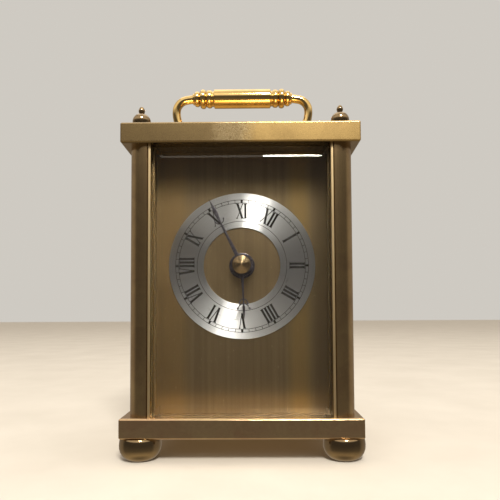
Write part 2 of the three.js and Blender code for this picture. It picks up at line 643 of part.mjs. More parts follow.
function handleGrip() {
  const half = [
    [GRIP_RADIUS - 0.3, GRIP_HALF], [GRIP_RADIUS - 0.7, GRIP_HALF + 0.3], [GRIP_RADIUS - 0.8, 13.9],
    ...bead(14, 16.7, GRIP_RADIUS - 0.8, BEAD_RADIUS - 0.4),
    ...bead(16.9, 19.5, GRIP_RADIUS - 0.9, BEAD_RADIUS),
    ...bead(19.7, 22, GRIP_RADIUS - 1.4, BEAD_RADIUS - 1),
    [ARM_RADIUS + 0.8, 22.2], [ARM_RADIUS + 0.6, GRIP_END],
    [ARM_RADIUS + 0.15, GRIP_END], [ARM_RADIUS + 0.15, GRIP_END - ARM_SOCKET], [0, GRIP_END - ARM_SOCKET],
  ];
  const left = half.map(([r, s]) => [r, -s]).reverse();
  const plain = [[GRIP_RADIUS, -GRIP_HALF + 0.4], [GRIP_RADIUS, GRIP_HALF - 0.4]];
  return turnedX([...left, ...plain, ...half], 20).translate(0, 0, TOP_TOP + HANDLE_GRIP_HEIGHT);
}

// One arm: from its socket in the grip out, down and back in to the eye on its pivot.
function handleArm(side) {
  const route = [
    [GRIP_END - ARM_SOCKET + 0.3, HANDLE_GRIP_HEIGHT], [GRIP_END - 0.6, HANDLE_GRIP_HEIGHT],
    [27.4, HANDLE_GRIP_HEIGHT - 0.9], [ARM_SPREAD - 0.65, HANDLE_GRIP_HEIGHT - 3.4],
    [ARM_SPREAD, HANDLE_GRIP_HEIGHT - 6.4], [ARM_SPREAD - 0.55, HANDLE_GRIP_HEIGHT - 10.2],
    [28.8, 11.6], [ARM_EYE_X, 8.9], [ARM_EYE_X, 7.6],
  ].map(([x, z]) => new THREE.Vector3(x, 0, TOP_TOP + z));
  const rod = new THREE.ExtrudeGeometry(disc(ARM_RADIUS), {
    steps: 18,
    curveSegments: 5,
    bevelEnabled: false,
    extrudePath: new THREE.CatmullRomCurve3(route, false, 'centripetal'),
  });
  const [from, to] = [ARM_EYE_X - ARM_EYE_THICKNESS / 2, ARM_EYE_X + ARM_EYE_THICKNESS / 2];
  return cut(join(rod, rodX(ARM_EYE_RADIUS, from, to, 0, PIVOT_Z, 24)),
    rodX(SCREW_RADIUS + 2 * GAP, from - 1, to + 1, 0, PIVOT_Z)).scale(side, 1, 1);
}

function handlePost(side) {
  const half = POST_HALF_WIDTH;
  const outline = new THREE.Shape();
  outline.moveTo(-half, 0);
  outline.lineTo(half, 0);
  outline.lineTo(half, HANDLE_PIVOT_HEIGHT);
  outline.absarc(0, HANDLE_PIVOT_HEIGHT, half, 0, Math.PI, false);
  const cheek = new THREE.ExtrudeGeometry(outline, {
    depth: POST_X[1] - POST_X[0], bevelEnabled: false, curveSegments: 12,
  }).rotateX(Math.PI / 2).rotateZ(Math.PI / 2).translate(POST_X[0], 0, TOP_TOP);
  const stud = rodZ(STUD_RADIUS, TOP_TOP - POST_STUD, TOP_TOP + 1, POST_MIDDLE, 0);
  const screwHole = rodX(SCREW_RADIUS + GAP, POST_X[0] + 0.6, POST_X[1] + 1, 0, PIVOT_Z);
  return cut(join(cheek, stud), screwHole).scale(side, 1, 1);
}

function pivotScrew(side) {
  const seat = ARM_EYE_X + ARM_EYE_THICKNESS / 2 + 0.15;
  return turnedX([
    [0, POST_X[0] + 0.9], [SCREW_RADIUS, POST_X[0] + 0.9], [SCREW_RADIUS, seat], [2.7, seat],
    [2.7, seat + 0.6], [2.1, seat + 1.3], [1, seat + 1.6], [0, seat + 1.65],
  ], 14).translate(0, 0, PIVOT_Z).scale(side, 1, 1);
}

// ---- rear door --------------------------------------------------------------------------
const DOOR_LOW = BASE_TOP + DOOR_GAP;
const DOOR_HIGH = TOP_UNDER - DOOR_GAP;
const DOOR_FREE_X = -(PILLAR_IN_X - DOOR_GAP);
const KNOB_X = DOOR_FREE_X + 5.5;
const KNOB_Z = (DOOR_LOW + DOOR_HIGH) / 2;

function rearDoor() {
  const half = DOOR_THICKNESS / 2;
  const outline = new THREE.Shape();
  outline.moveTo(DOOR_FREE_X, DOOR_FRONT);
  outline.lineTo(DOOR_PIN_X + 0.15, DOOR_FRONT);
  outline.absarc(DOOR_PIN_X + 0.15, DOOR_PIN_Y, half, -Math.PI / 2, Math.PI / 2, false);
  outline.lineTo(DOOR_FREE_X, DOOR_BACK);
  const leafPlate = new THREE.ExtrudeGeometry(outline, {
    depth: DOOR_HIGH - DOOR_LOW, bevelEnabled: false, curveSegments: 8,
  }).translate(0, 0, DOOR_LOW);
  const pinHole = (from, to) => rodZ(DOOR_PIN_RADIUS + 0.05, from, to, DOOR_PIN_X, DOOR_PIN_Y, 12);
  return cut(leafPlate,
    pinHole(DOOR_LOW - 1, DOOR_LOW + DOOR_PIN_LENGTH - DOOR_PIN_REACH),
    pinHole(DOOR_HIGH - DOOR_PIN_LENGTH + DOOR_PIN_REACH, DOOR_HIGH + 1),
    rodY(0.95, DOOR_FRONT - 1, DOOR_BACK + 1, KNOB_X, KNOB_Z, 16));
}

function doorPin(upper) {
  const [from, to] = upper
    ? [TOP_UNDER + DOOR_PIN_REACH - DOOR_PIN_LENGTH + 0.3, TOP_UNDER + DOOR_PIN_REACH]
    : [BASE_TOP - DOOR_PIN_REACH, BASE_TOP - DOOR_PIN_REACH + DOOR_PIN_LENGTH - 0.3];
  return rodZ(DOOR_PIN_RADIUS, from, to, DOOR_PIN_X, DOOR_PIN_Y, 12);
}

function doorKnob() {
  const b = DOOR_BACK;
  return turnedY([
    [0, b - DOOR_THICKNESS], [0.85, b - DOOR_THICKNESS], [0.85, b + 0.05], [2.1, b + 0.05], [2.1, b + 0.4],
    [0.9, b + 0.7], [0.9, b + 1.1], [1.9, b + 1.6], [2.1, b + 2.3], [1.6, b + 3], [0, b + 3.3],
  ], 14).translate(KNOB_X, 0, KNOB_Z);
}

const CATCH = { x: [-31, -25], z: [TOP_UNDER - 7.1, TOP_UNDER - GAP] };

function doorStrike() {
  return boxBetween([CATCH.x[0], DOOR_FRONT - 0.8, CATCH.z[0]],
    [CATCH.x[1], DOOR_FRONT - 0.02, CATCH.z[1] - 0.5]);
}

function doorMagnet() {
  return boxBetween([CATCH.x[0], DOOR_FRONT - 5.4, CATCH.z[0]], [CATCH.x[1], DOOR_FRONT - 1.1, CATCH.z[1]]);
}

// ---- assembly ---------------------------------------------------------------------------
const clock = new THREE.Group();

function add(name, geometry, look, parent = clock) {
  const material = new THREE.MeshStandardMaterial(look);
  const mesh = new THREE.Mesh(closed(geometry), material);
  mesh.name = name;
  parent.add(mesh);
  return mesh;
}

add('base_plate', basePlate(), BRASS);
add('top_plate', topPlate(), BRASS);
for (const [place, sx, sy] of corners) {
  add(`pillar_${place}`, pillar(sx, sy), BRASS);
  add(`foot_${place}`, foot(), BRASS).position.set(sx * STUD_X, sy * STUD_Y, 0);
  add(`finial_${place}`, finial(), BRASS).position.set(sx * STUD_X, sy * STUD_Y, TOP_TOP);
}
add('front_glass', frontGlass(), CLEAR_GLASS);

for (const [place, side] of [['left', -1], ['right', 1]]) {
  add(`side_panel_${place}`, sidePanel(side), BRUSHED_BRASS);
  add(`handle_post_${place}`, handlePost(side), BRASS);
  add(`handle_arm_${place}`, handleArm(side), BRASS);
  add(`handle_screw_${place}`, pivotScrew(side), BRASS);
}
add('handle_grip', handleGrip(), BRASS);

add('dial_plate', dialPlate(), BRUSHED_BRASS);
add('chapter_ring', chapterRing(), SILVERED);
add('fixing_washer', fixingWasher(), BLACK_METAL);
add('fixing_nut', fixingNut(), BLACK_METAL);

function placeHand(name, geometry, back, degrees) {
  const mesh = add(name, geometry, BLACK_METAL);
  mesh.position.set(0, back, HAND_AXIS_HEIGHT);
  mesh.rotation.y = THREE.MathUtils.degToRad(degrees);
}
placeHand('hour_hand', hourHand(), HOUR_HAND_BACK, HOUR_HAND_REST);
placeHand('minute_hand', minuteHand(), MINUTE_HAND_BACK, MINUTE_HAND_REST);
add('hand_nut', capNut(), BRASS);

add('movement_case', movementCase(), BLACK_PLASTIC);
add('movement_cover', movementCover(), BLACK_PLASTIC);
add('minute_arbor', minuteArbor(), BRASS);
add('centre_wheel', centreWheel(), WHITE_PLASTIC);
add('hour_wheel', hourWheel(), BRASS);
add('minute_wheel', minuteWheel(), WHITE_PLASTIC);
add('third_wheel', thirdWheel(), WHITE_PLASTIC);
add('seconds_wheel', secondsWheel(), WHITE_PLASTIC);
add('setting_knob', settingKnob(), BLACK_PLASTIC);
add('circuit_board', circuitBoard(), GREEN_BOARD);
add('drive_coil', driveCoil(), COPPER);
add('battery', battery(), CELL_SLEEVE);
add('contact_positive', positiveContact(), STEEL);
add('contact_negative', negativeContact(), STEEL);

add('rear_door', rearDoor(), BRUSHED_BRASS);
add('door_pin_upper', doorPin(true), BRASS);
add('door_pin_lower', doorPin(false), BRASS);
add('door_knob', doorKnob(), BRASS);
add('door_strike', doorStrike(), STEEL);
add('door_magnet', doorMagnet(), BLACK_METAL);

export default clock;
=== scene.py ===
"""A brass mantel clock of the carriage-clock kind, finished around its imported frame."""
import json
import math

import bpy
import numpy as np
from mathutils import Matrix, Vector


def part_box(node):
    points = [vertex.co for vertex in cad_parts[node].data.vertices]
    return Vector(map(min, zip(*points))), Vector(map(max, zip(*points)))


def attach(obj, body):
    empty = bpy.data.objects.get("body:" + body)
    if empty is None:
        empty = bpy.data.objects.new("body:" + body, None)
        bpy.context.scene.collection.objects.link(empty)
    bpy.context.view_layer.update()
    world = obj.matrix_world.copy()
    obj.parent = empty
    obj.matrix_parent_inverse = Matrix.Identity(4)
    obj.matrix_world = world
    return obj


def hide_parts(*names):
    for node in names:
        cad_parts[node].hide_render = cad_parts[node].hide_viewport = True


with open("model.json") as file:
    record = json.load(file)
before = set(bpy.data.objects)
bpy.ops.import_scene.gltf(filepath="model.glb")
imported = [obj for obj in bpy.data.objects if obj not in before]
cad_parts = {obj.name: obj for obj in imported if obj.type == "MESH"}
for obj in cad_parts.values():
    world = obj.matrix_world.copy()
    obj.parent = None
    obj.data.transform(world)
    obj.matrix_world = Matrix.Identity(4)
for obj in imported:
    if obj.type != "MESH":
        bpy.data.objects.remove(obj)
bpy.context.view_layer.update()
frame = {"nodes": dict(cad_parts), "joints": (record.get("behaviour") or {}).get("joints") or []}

MM = 0.001
CORNERS = [("front_left", -1, -1), ("front_right", 1, -1), ("rear_left", -1, 1), ("rear_right", 1, 1)]
SIDES = [("left", -1), ("right", 1)]
HOUR_HAND_ANGLE, MINUTE_HAND_ANGLE = 177.5, -26.3          # degrees clockwise from upright


def span(node):
    """Lowest and highest corners of a CAD node, in millimetres."""
    low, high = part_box(node)
    return np.array(low) / MM, np.array(high) / MM


def joint_point(name):
    """A point on a joint's axis, in millimetres."""
    return next(np.array(j["pos_m"]) / MM for j in frame["joints"] if j["name"] == name)


BASE_TOP = span("base_plate")[1][2]
TOP_UNDER = span("top_plate")[0][2]
TOP_TOP = span("top_plate")[1][2]
FRONT_FACE = span("top_plate")[0][1]
PILLAR_INNER = span("pillar_front_right")[0][0]
RING_FRONT = span("chapter_ring")[0][1]
HAND_AXIS = joint_point("minute_hand_turn")
ON_HAND_AXIS = (0, 0, HAND_AXIS[2])
PIVOT = joint_point("handle_swing")
GRIP_Z = sum(span("handle_grip"))[2] / 2
FIT = 0.1                        # play between fixed neighbours
FLAT_MAP = 0.01                  # how much of the UV map a millimetre of a flat end takes


# ---- surfaces ----
def columns(*parts):
    """Coordinates side by side: one row for each point."""
    return np.stack(np.broadcast_arrays(*parts), -1)


def faced_out(points, groups):
    """Turns every face over if the signed volume under them, summed as fans, is negative."""
    volume = 0.0
    for corners, _ in groups:
        p = points[corners]
        first, middle, last = p[:, :1], p[:, 1:-1], p[:, 2:]
        volume += np.einsum("ijk,ijk->", np.broadcast_to(first, middle.shape), np.cross(middle, last))
    if volume < 0:
        groups = [(corners[:, ::-1], uv[:, ::-1]) for corners, uv in groups]
    return {"points": points, "groups": groups}


def shell(rings, loop=False):
    """A skin over rings of points: quads join each ring to the next, and flat ends close an open
    row of rings. u runs once round a ring and v once along the row."""
    rings = np.asarray(rings, float)
    rows, count = rings.shape[:2]
    i, j = np.meshgrid(np.arange(rows if loop else rows - 1), np.arange(count), indexing="ij")
    steps = [(0, 0), (0, 1), (1, 1), (1, 0)]
    corners = columns(*((i + a) % rows * count + (j + b) % count for a, b in steps))
    last = rows if loop else rows - 1
    uv = np.stack([columns((j + b) / count, (i + a) / last) for a, b in steps], -2)
    groups = [(corners.reshape(-1, 4), uv.reshape(-1, 4, 2))]
    points = rings.reshape(-1, 3)
    if not loop:
        for end in (np.arange(count)[::-1], np.arange(count) + (rows - 1) * count):
            flat = points[end]
            groups.append((end[None], (flat[:, :2] + flat[:, 2:])[None] * FLAT_MAP))
    return faced_out(points, groups)


def prisms(quads, near, far):
    """Flat bars: each four-cornered outline, drawn across X and Z, filled between two depths."""
    quads = np.asarray(quads, float)
    levels = [np.insert(quads, 1, y, axis=2) for y in (near, far)]
    points = np.concatenate(levels, 1).reshape(-1, 3)
    sides = [(0, 1, 2, 3), (7, 6, 5, 4), (0, 4, 5, 1), (1, 5, 6, 2), (2, 6, 7, 3), (3, 7, 4, 0)]
    corners = (np.arange(len(quads))[:, None, None] * 8 + np.array(sides)).reshape(-1, 4)
    p = points[corners]
    return faced_out(points, [(corners, (p[..., :2] + p[..., 2:]) * FLAT_MAP)])


def unit(vectors):
    """Each vector divided by its own length."""
    return vectors / np.maximum(np.linalg.norm(vectors, axis=-1, keepdims=True), 1e-9)


def rounded(corners, radius, steps=4, closed=True):
    """A cornered outline with each corner replaced by the parabola that leaves one side at the
    radius before the corner and meets the next side at the radius after it. One more point
    on each side keeps the shading of the flats flat."""
    p = np.asarray(corners, float)
    back, ahead = np.roll(p, 1, 0) - p, np.roll(p, -1, 0) - p
    room = np.minimum(np.linalg.norm(back, axis=1), np.linalg.norm(ahead, axis=1))
    reach = np.minimum(np.broadcast_to(radius, len(p)), 0.4 * room)[:, None]
    start, end = p + unit(back) * reach, p + unit(ahead) * reach
    t = np.linspace(0, 1, steps + 1)[None, :, None]
    curve = (1 - t) ** 2 * start[:, None] + 2 * t * (1 - t) * p[:, None] + t ** 2 * end[:, None]
    before, after = (p + unit(way) * reach * 1.2 for way in (back, ahead))
    curve = np.concatenate([before[:, None], curve, after[:, None]], 1)
    if closed:
        return curve.reshape(-1, p.shape[1])
    return np.concatenate([p[:1], curve[1:-1].reshape(-1, p.shape[1]), p[-1:]])


def through(points, steps=6):
    """A smooth curve through the given points: Catmull-Rom cubics between neighbours."""
    p = np.asarray(points, float)
    p = np.concatenate([2 * p[:1] - p[1:2], p, 2 * p[-1:] - p[-2:-1]])
    a, b, c, d = (p[k:len(p) - 3 + k, None] for k in range(4))
    t = np.linspace(0, 1, steps, endpoint=False)[None, :, None]
    bend, twist = 2 * a - 5 * b + 4 * c - d, 3 * b - a - 3 * c + d
    cubic = 0.5 * (2 * b + (c - a) * t + bend * t ** 2 + twist * t ** 3)
    return np.concatenate([cubic.reshape(-1, p.shape[1]), p[-2:-1]])


def aligned(across, up, along, axis):
    """Puts two crosswise coordinates and one lengthwise coordinate on the axes for a direction."""
    order = {"x": (along, across, up), "y": (across, along, up), "z": (across, up, along)}[axis]
    return columns(*order)


def turned(profile, axis, centre, sides=64, loop=False):
    """A turned surface: each (radius, station) of the profile becomes a circle about the axis."""
    radius, station = np.asarray(profile, float).T
    angle = np.linspace(0, 2 * np.pi, sides, endpoint=False)
    across = radius[:, None] * np.cos(angle)
    up = radius[:, None] * np.sin(angle)
    return shell(aligned(across, up, station[:, None], axis) + np.asarray(centre, float), loop)


def stacked(outline, steps, axis, centre=(0, 0, 0)):
    """Outlines stacked along an axis: each step is (inset, level), and outline(inset) gives the
    closed curve drawn in by that inset."""
    rings = [aligned(*outline(inset).T, level, axis) for inset, level in steps]
    return shell(np.array(rings) + np.asarray(centre, float))


def soft_edges(low, high, radius, steps=4):
    """(inset, level) steps of a slab whose two rims are rounded."""
    return rounded([(5 * radius, low), (0, low), (0, high), (5 * radius, high)], radius, steps, closed=False)


def tube(path, radius, sides=24):
    """A round bar along a path in an upright plane: circles stand square to the path, across the
    path's own normal and Y. The radius may change along the way."""
    path = np.asarray(path, float)
    along = unit(np.gradient(path, axis=0))
    normal = columns(-along[:, 2], 0, along[:, 0])
    angle = np.linspace(0, 2 * np.pi, sides, endpoint=False)
    radius = np.broadcast_to(radius, len(path))[:, None, None]
    ring = np.cos(angle)[None, :, None] * normal[:, None] + np.sin(angle)[None, :, None] * np.array([0, 1, 0])
    return shell(path[:, None] + radius * ring)


def rectangle(half_x, half_y, corner, steps=3):
    """Gives outline(inset) of a rectangle with rounded corners: both half widths and the corner's
    radius shrink by the inset."""
    def outline(inset):
        x, y = half_x - inset, half_y - inset
        return rounded([(-x, -y), (x, -y), (x, y), (-x, y)], max(corner - inset, 0.04), steps)
    return outline


def mesh_object(name, shells, look, crease=30):
    """Joins shells into one mesh, smooth but for edges sharper than the crease angle."""
    offsets = np.cumsum([0] + [len(s["points"]) for s in shells])
    points = np.concatenate([s["points"] for s in shells]) * MM
    groups = [(corners + offset, uv) for s, offset in zip(shells, offsets) for corners, uv in s["groups"]]
    sizes = np.concatenate([np.full(len(corners), corners.shape[1]) for corners, _ in groups])
    mesh = bpy.data.meshes.new(name)
    mesh.vertices.add(len(points))
    mesh.vertices.foreach_set("co", points.ravel())
    mesh.loops.add(int(sizes.sum()))
    mesh.loops.foreach_set("vertex_index", np.concatenate([c.ravel() for c, _ in groups]).astype(np.int32))
    mesh.polygons.add(len(sizes))
    mesh.polygons.foreach_set("loop_start", np.concatenate([[0], np.cumsum(sizes)[:-1]]).astype(np.int32))
    mesh.update(calc_edges=True)
    mesh.uv_layers.new(name="UVMap").data.foreach_set("uv", np.concatenate([uv.ravel() for _, uv in groups]))
    mesh.validate()
    mesh.polygons.foreach_set("use_smooth", np.ones(len(sizes), bool))
    mesh.set_sharp_from_angle(angle=math.radians(crease))
    mesh.materials.append(look)
    made = bpy.data.objects.new(name, mesh)
    bpy.context.scene.collection.objects.link(made)
    return made


def piece(name, shells, look, node=None, body="case", crease=30):
    """Makes a mesh that moves with a body and carries the given look, and hides the node it stands for."""
    made = mesh_object(name, shells, look, crease)
    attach(made, body)
    if node:
        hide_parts(node)
    return made


# ---- finishes ----
class Nodes:
    """A node tree under construction, with short ways to add and wire its nodes."""

    def __init__(self, tree):
        self.tree = tree

    def wire(self, node, values):
        """Sets or links inputs by name; an underscore stands for a space."""
        for key, value in values.items():
            socket = node.inputs[key.replace("_", " ")] if isinstance(key, str) else node.inputs[key]
            if isinstance(value, bpy.types.NodeSocket):
                self.tree.links.new(value, socket)
            elif socket.type == "RGBA":
                socket.default_value = (*value[:3], 1)
            else:
                socket.default_value = value

    def add(self, kind, inputs=None, **settings):
        """Adds a node with its settings and inputs."""
        node = self.tree.nodes.new(kind)
        for key, value in settings.items():
            setattr(node, key, value)
        self.wire(node, inputs or {})
        return node

    def noise(self, vector, scale=1.0, detail=3.0, roughness=0.55, distortion=0.0):
        """Fractal noise from 0 to 1, its lumps about 1 / scale across."""
        return self.add("ShaderNodeTexNoise", {
            "Vector": vector, "Scale": scale, "Detail": detail, "Roughness": roughness,
            "Distortion": distortion}).outputs["Fac"]

    def ramp(self, factor, *stops):
        """A colour or grey ramp; stops are (position, value)."""
        node = self.add("ShaderNodeValToRGB", {"Fac": factor})
        ramp = node.color_ramp.elements
        while len(ramp) < len(stops):
            ramp.new(0.5)
        for element, (position, value) in zip(ramp, stops):
            element.position = position
            element.color = (*value, 1) if isinstance(value, tuple) else (value, value, value, 1)
        return node.outputs["Color"]

    def mix(self, factor, one, two):
        """Colour one where the factor is 0, colour two where it is 1."""
        node = self.add("ShaderNodeMix", data_type="RGBA")
        self.wire(node, {0: factor, 6: one, 7: two})
        return node.outputs[2]

    def math(self, operation, *values):
        """One of the Math node's operations."""
        node = self.add("ShaderNodeMath", operation=operation)
        self.wire(node, dict(enumerate(values)))
        return node.outputs[0]

    def times(self, one, two):
        """The product of two values."""
        return self.math("MULTIPLY", one, two)

    def plus(self, one, two):
        """The sum of two values."""
        return self.math("ADD", one, two)

    def part(self, vector, axis):
        """One coordinate of a vector."""
        return self.add("ShaderNodeSeparateXYZ", {"Vector": vector}).outputs[axis]

    def between(self, value, low, high, blur):
        """1 inside an interval, fading to 0 over the blur outside it."""
        ends = [self.add("ShaderNodeMapRange", {"Value": value, "From Min": a, "From Max": b},
                         interpolation_type="SMOOTHSTEP").outputs[0]
                for a, b in ((low - blur, low), (high + blur, high))]
        return self.times(*ends)


class Look(Nodes):
    """A material under construction."""

    def __init__(self, name, **shader):
        self.material = bpy.data.materials.new(name)
        self.material.use_nodes = True
        super().__init__(self.material.node_tree)
        self.shader = self.tree.nodes["Principled BSDF"]
        self.wire(self.shader, shader)

    def millimetres(self, stretch=(1, 1, 1), turn=(0, 0, 0), move=(0, 0, 0)):
        """Object coordinates in millimetres, stretched, then turned, then moved."""
        place = self.add("ShaderNodeTexCoord").outputs["Object"]
        scale = [s / MM for s in stretch]
        return self.add("ShaderNodeMapping", {"Vector": place, "Scale": scale, "Rotation": turn,
                                              "Location": move}).outputs["Vector"]

    def finish(self, colour, rough, height=None, strength=0.2, depth=0.02, **shader):
        """Wires the colour, the roughness and the relief: a height pattern, how strongly it tilts
        the surface, and its depth in millimetres. Gives the material."""
        self.wire(self.shader, {"Base_Color": colour, "Roughness": rough, **shader})
        if height is not None:
            relief = {"Height": height, "Strength": strength, "Distance": depth * MM}
            self.wire(self.shader, {"Normal": self.add("ShaderNodeBump", relief).outputs["Normal"]})
        return self.material

    def tangent(self):
        """Direction of u, round a turned piece or across an extruded one."""
        return self.add("ShaderNodeTangent", direction_type="UV_MAP", uv_map="UVMap").outputs[0]


BRASS_BRIGHT = (0.68, 0.48, 0.21)
BRASS_AGED = (0.46, 0.31, 0.14)
BRASS_DULL = (0.32, 0.23, 0.13)
# colour of the painted highlight along the pillars' inner edges
BRASS_HIGHLIGHT = (0.98, 0.80, 0.48)
BRASS_SPECK = (0.82, 0.66, 0.36)
PIT_BROWN = (0.12, 0.075, 0.035)
# colour of the painted shade on the top plate's underside
UNDERSIDE_SHADE = (0.10, 0.075, 0.04)


def darker(colour, share):
    """A colour with each part multiplied by the share."""
    return tuple(share * part for part in colour)


def polished_brass(name, grain, bright=BRASS_BRIGHT, aged=BRASS_AGED, gloss=0.14, painted_edge_highlight=None):
    """Old polished brass: cloudy patina, tiny dark pits, and hairlines along the grain. grain
    stretches the hairlines: a small number along an axis makes them long that way. The last
    argument, if given, is a stretch of distances from the middle plane that gets a painted
    highlight, a bright strip standing in for an edge catching the lamp."""
    look = Look(name, Metallic=1.0)
    place = look.millimetres()
    cloud = look.noise(place, 0.09, 5, 0.6, 0.6)
    mottle = look.noise(place, 0.8, 4, 0.6)
    pits = look.ramp(look.noise(place, 2.6, 3, 0.5), (0.66, 0.0), (0.74, 1.0))
    lines = look.noise(look.millimetres(grain), 1.0, 3, 0.7)
    colour = look.mix(look.ramp(cloud, (0.38, 0.0), (0.66, 1.0)), bright, aged)
    colour = look.mix(look.times(mottle, 0.35), colour, BRASS_DULL)
    colour = look.mix(look.times(pits, 0.5), colour, PIT_BROWN)
    rough = look.plus(look.plus(look.times(cloud, 0.16), look.times(lines, 0.10)), gloss - 0.12)
    # painted highlight: a bright strip along the pillars' inner edges, standing in for an edge catching the
    # lamp
    if painted_edge_highlight:
        blur = 0.1
        painted_highlight = look.between(look.math("ABSOLUTE", look.part(place, 0)), *painted_edge_highlight, blur)
        colour = look.mix(look.times(painted_highlight, 0.55), colour, BRASS_HIGHLIGHT)
        rough = look.plus(rough, look.times(painted_highlight, 0.16))
    height = look.plus(look.times(lines, 0.5), look.times(mottle, 0.25))
    return look.finish(colour, rough, height, 0.22, 0.012)


def satin_plate():
    """The top plate: a fine grain from rubbing, and a front face with painted shade on the left, a
    scratched patch in the middle and a painted highlight on the right, as if lit from the right.
    Painted shade also darkens the underside and the top under the handle."""
    # the second span is where the painted highlight lies on the right of the front face
    scratched, painted_highlight = (-3, 6, 6), (12, 90, 9)               # from, to and blur, left to right
    # the painted shade under the handle covers this width and depth
    handle_width, handle_depth = (-24, 24, 8), (-7, 7, 8)
    look = Look("satin_brass_top", Metallic=1.0)
    place = look.millimetres()
    x, y, z = (look.part(place, axis) for axis in range(3))
    grain = look.noise(look.millimetres((2.5, 2.5, 6)), 1.0, 4, 0.75)
    cloud = look.noise(place, 0.12, 4, 0.6, 0.4)
    front = look.between(y, FRONT_FACE - 5, FRONT_FACE + 0.8, 0.3)
    under = look.between(z, TOP_UNDER - 9, TOP_UNDER + 0.2, 0.2)
    shaded = look.times(look.between(x, *handle_width), look.between(y, *handle_depth))
    ragged = look.plus(x, look.times(look.noise(place, 0.5, 4, 0.7), 9.0))
    patch = look.times(look.between(ragged, *scratched), front)
    squiggle = look.noise(look.millimetres((1, 1, 1), (0, 0.6, 0)), 0.9, 4, 0.75, 2.2)
    squiggle = look.math("ABSOLUTE", look.math("SUBTRACT", squiggle, 0.5))
    frost = look.times(patch, look.ramp(squiggle, (0.0, 1.0), (0.035, 0.0)))
    colour = look.mix(look.ramp(cloud, (0.35, 0.0), (0.65, 1.0)), (0.74, 0.51, 0.20), (0.56, 0.38, 0.15))
    colour = look.mix(look.times(grain, 0.45), colour, (0.38, 0.26, 0.12))
    # painted shade on the left of the front face and a painted highlight on the right, as if lit from the
    # right
    shaded_face = look.mix(0.8, colour, (0.22, 0.165, 0.09))
    bright = look.mix(0.15, colour, (0.95, 0.68, 0.27))
    face = look.mix(look.times(look.between(ragged, *painted_highlight), 0.8), shaded_face, bright)
    colour = look.mix(front, colour, face)
    colour = look.mix(look.times(frost, 0.7), colour, (0.62, 0.52, 0.33))
    # painted shade: the underside and its lowest rim darkened
    colour = look.mix(look.times(under, 0.7), colour, UNDERSIDE_SHADE)
    # painted shade on the top under the handle
    colour = look.mix(look.times(shaded, 0.5), colour, (0.13, 0.09, 0.045))
    rough = look.plus(look.plus(look.times(grain, 0.16), 0.2), look.times(frost, 0.06))
    height = look.plus(grain, look.times(frost, 0.5))
    return look.finish(colour, rough, height, 0.35, 0.02)


def brushed_brass(name, grain, bright, aged, aniso=0.5, painted_light_bands=()):
    """Lacquered brass brushed one way: long streaks of light and dark, and a few light specks.
    An optional list gives (left, right, blur, colour) upright stretches of painted light and painted shade."""
    look = Look(name, Metallic=1.0, Anisotropic=aniso)
    place = look.millimetres()
    fine = look.noise(look.millimetres(grain), 6.0, 3, 0.75)
    broad = look.noise(look.millimetres(grain), 0.55, 3, 0.55)
    cloud = look.noise(place, 0.05, 3, 0.5)
    specks = look.ramp(look.noise(place, 1.1, 2, 0.5), (0.71, 0.0), (0.75, 1.0))
    colour = look.mix(look.ramp(broad, (0.35, 0.0), (0.65, 1.0)), bright, aged)
    # painted light and painted shade: upright stretches of other colours
    for left, right, blur, tone in painted_light_bands:
        colour = look.mix(look.between(look.part(place, 0), left, right, blur), colour, tone)
    colour = look.mix(look.times(fine, 0.5), colour, darker(aged, 0.7))
    colour = look.mix(look.times(specks, 0.35), colour, BRASS_SPECK)
    rough = look.plus(look.plus(look.times(fine, 0.14), look.times(cloud, 0.12)), 0.3)
    height = look.plus(fine, look.times(specks, 0.8))
    brushing = {"Tangent": look.tangent()} if aniso else {}
    return look.finish(colour, rough, height, 0.3, 0.012, **brushing)


def spun_metal(name, bright, shade, pitch, gloss, aniso):
    """Metal finished on a lathe: rings of fine lines round the hand axis, which draw highlights out
    from the centre."""
    look = Look(name, Metallic=1.0, Anisotropic=aniso, Anisotropic_Rotation=0.25)
    place = look.millimetres(move=-HAND_AXIS)
    flat = look.add("ShaderNodeVectorMath", {"Vector": place, 1: (1, 0, 1)}, operation="MULTIPLY").outputs[0]
    radius = look.add("ShaderNodeVectorMath", {"Vector": flat}, operation="LENGTH").outputs["Value"]
    lines = look.add("ShaderNodeTexNoise", {"W": radius, "Scale": pitch, "Detail": 3, "Roughness": 0.7},
                     noise_dimensions="1D").outputs["Fac"]
    cloud = look.noise(place, 0.25, 4, 0.6)
    colour = look.mix(look.ramp(lines, (0.3, 0.0), (0.7, 1.0)), bright, shade)
    colour = look.mix(look.times(cloud, 0.25), colour, darker(shade, 0.8))
    rough = look.plus(look.plus(look.times(lines, 0.12), look.times(cloud, 0.12)), gloss - 0.1)
    return look.finish(colour, rough, lines, 0.2, 0.01, Tangent=look.tangent())


def blackened_metal():
    """Blued steel gone nearly black, with a purple sheen and places lighter from rubbing."""
    look = Look("blackened_metal", Metallic=0.85)
    place = look.millimetres()
    cloud = look.noise(place, 0.5, 4, 0.6)
    colour = look.ramp(cloud, (0.35, (0.055, 0.05, 0.062)), (0.68, (0.12, 0.11, 0.135)))
    rough = look.plus(look.times(look.noise(place, 4, 3), 0.15), 0.2)
    return look.finish(colour, rough, cloud, 0.15, 0.02)


def ink():
    """Printed black, a little grey in places."""
    look = Look("dial_ink", Specular_IOR_Level=0.1)
    place = look.millimetres()
    colour = look.ramp(look.noise(place, 3, 3), (0.35, (0.007, 0.007, 0.008)), (0.75, (0.028, 0.026, 0.026)))
    rough = look.plus(look.times(look.noise(place, 6, 2), 0.2), 0.35)
    return look.finish(colour, rough)


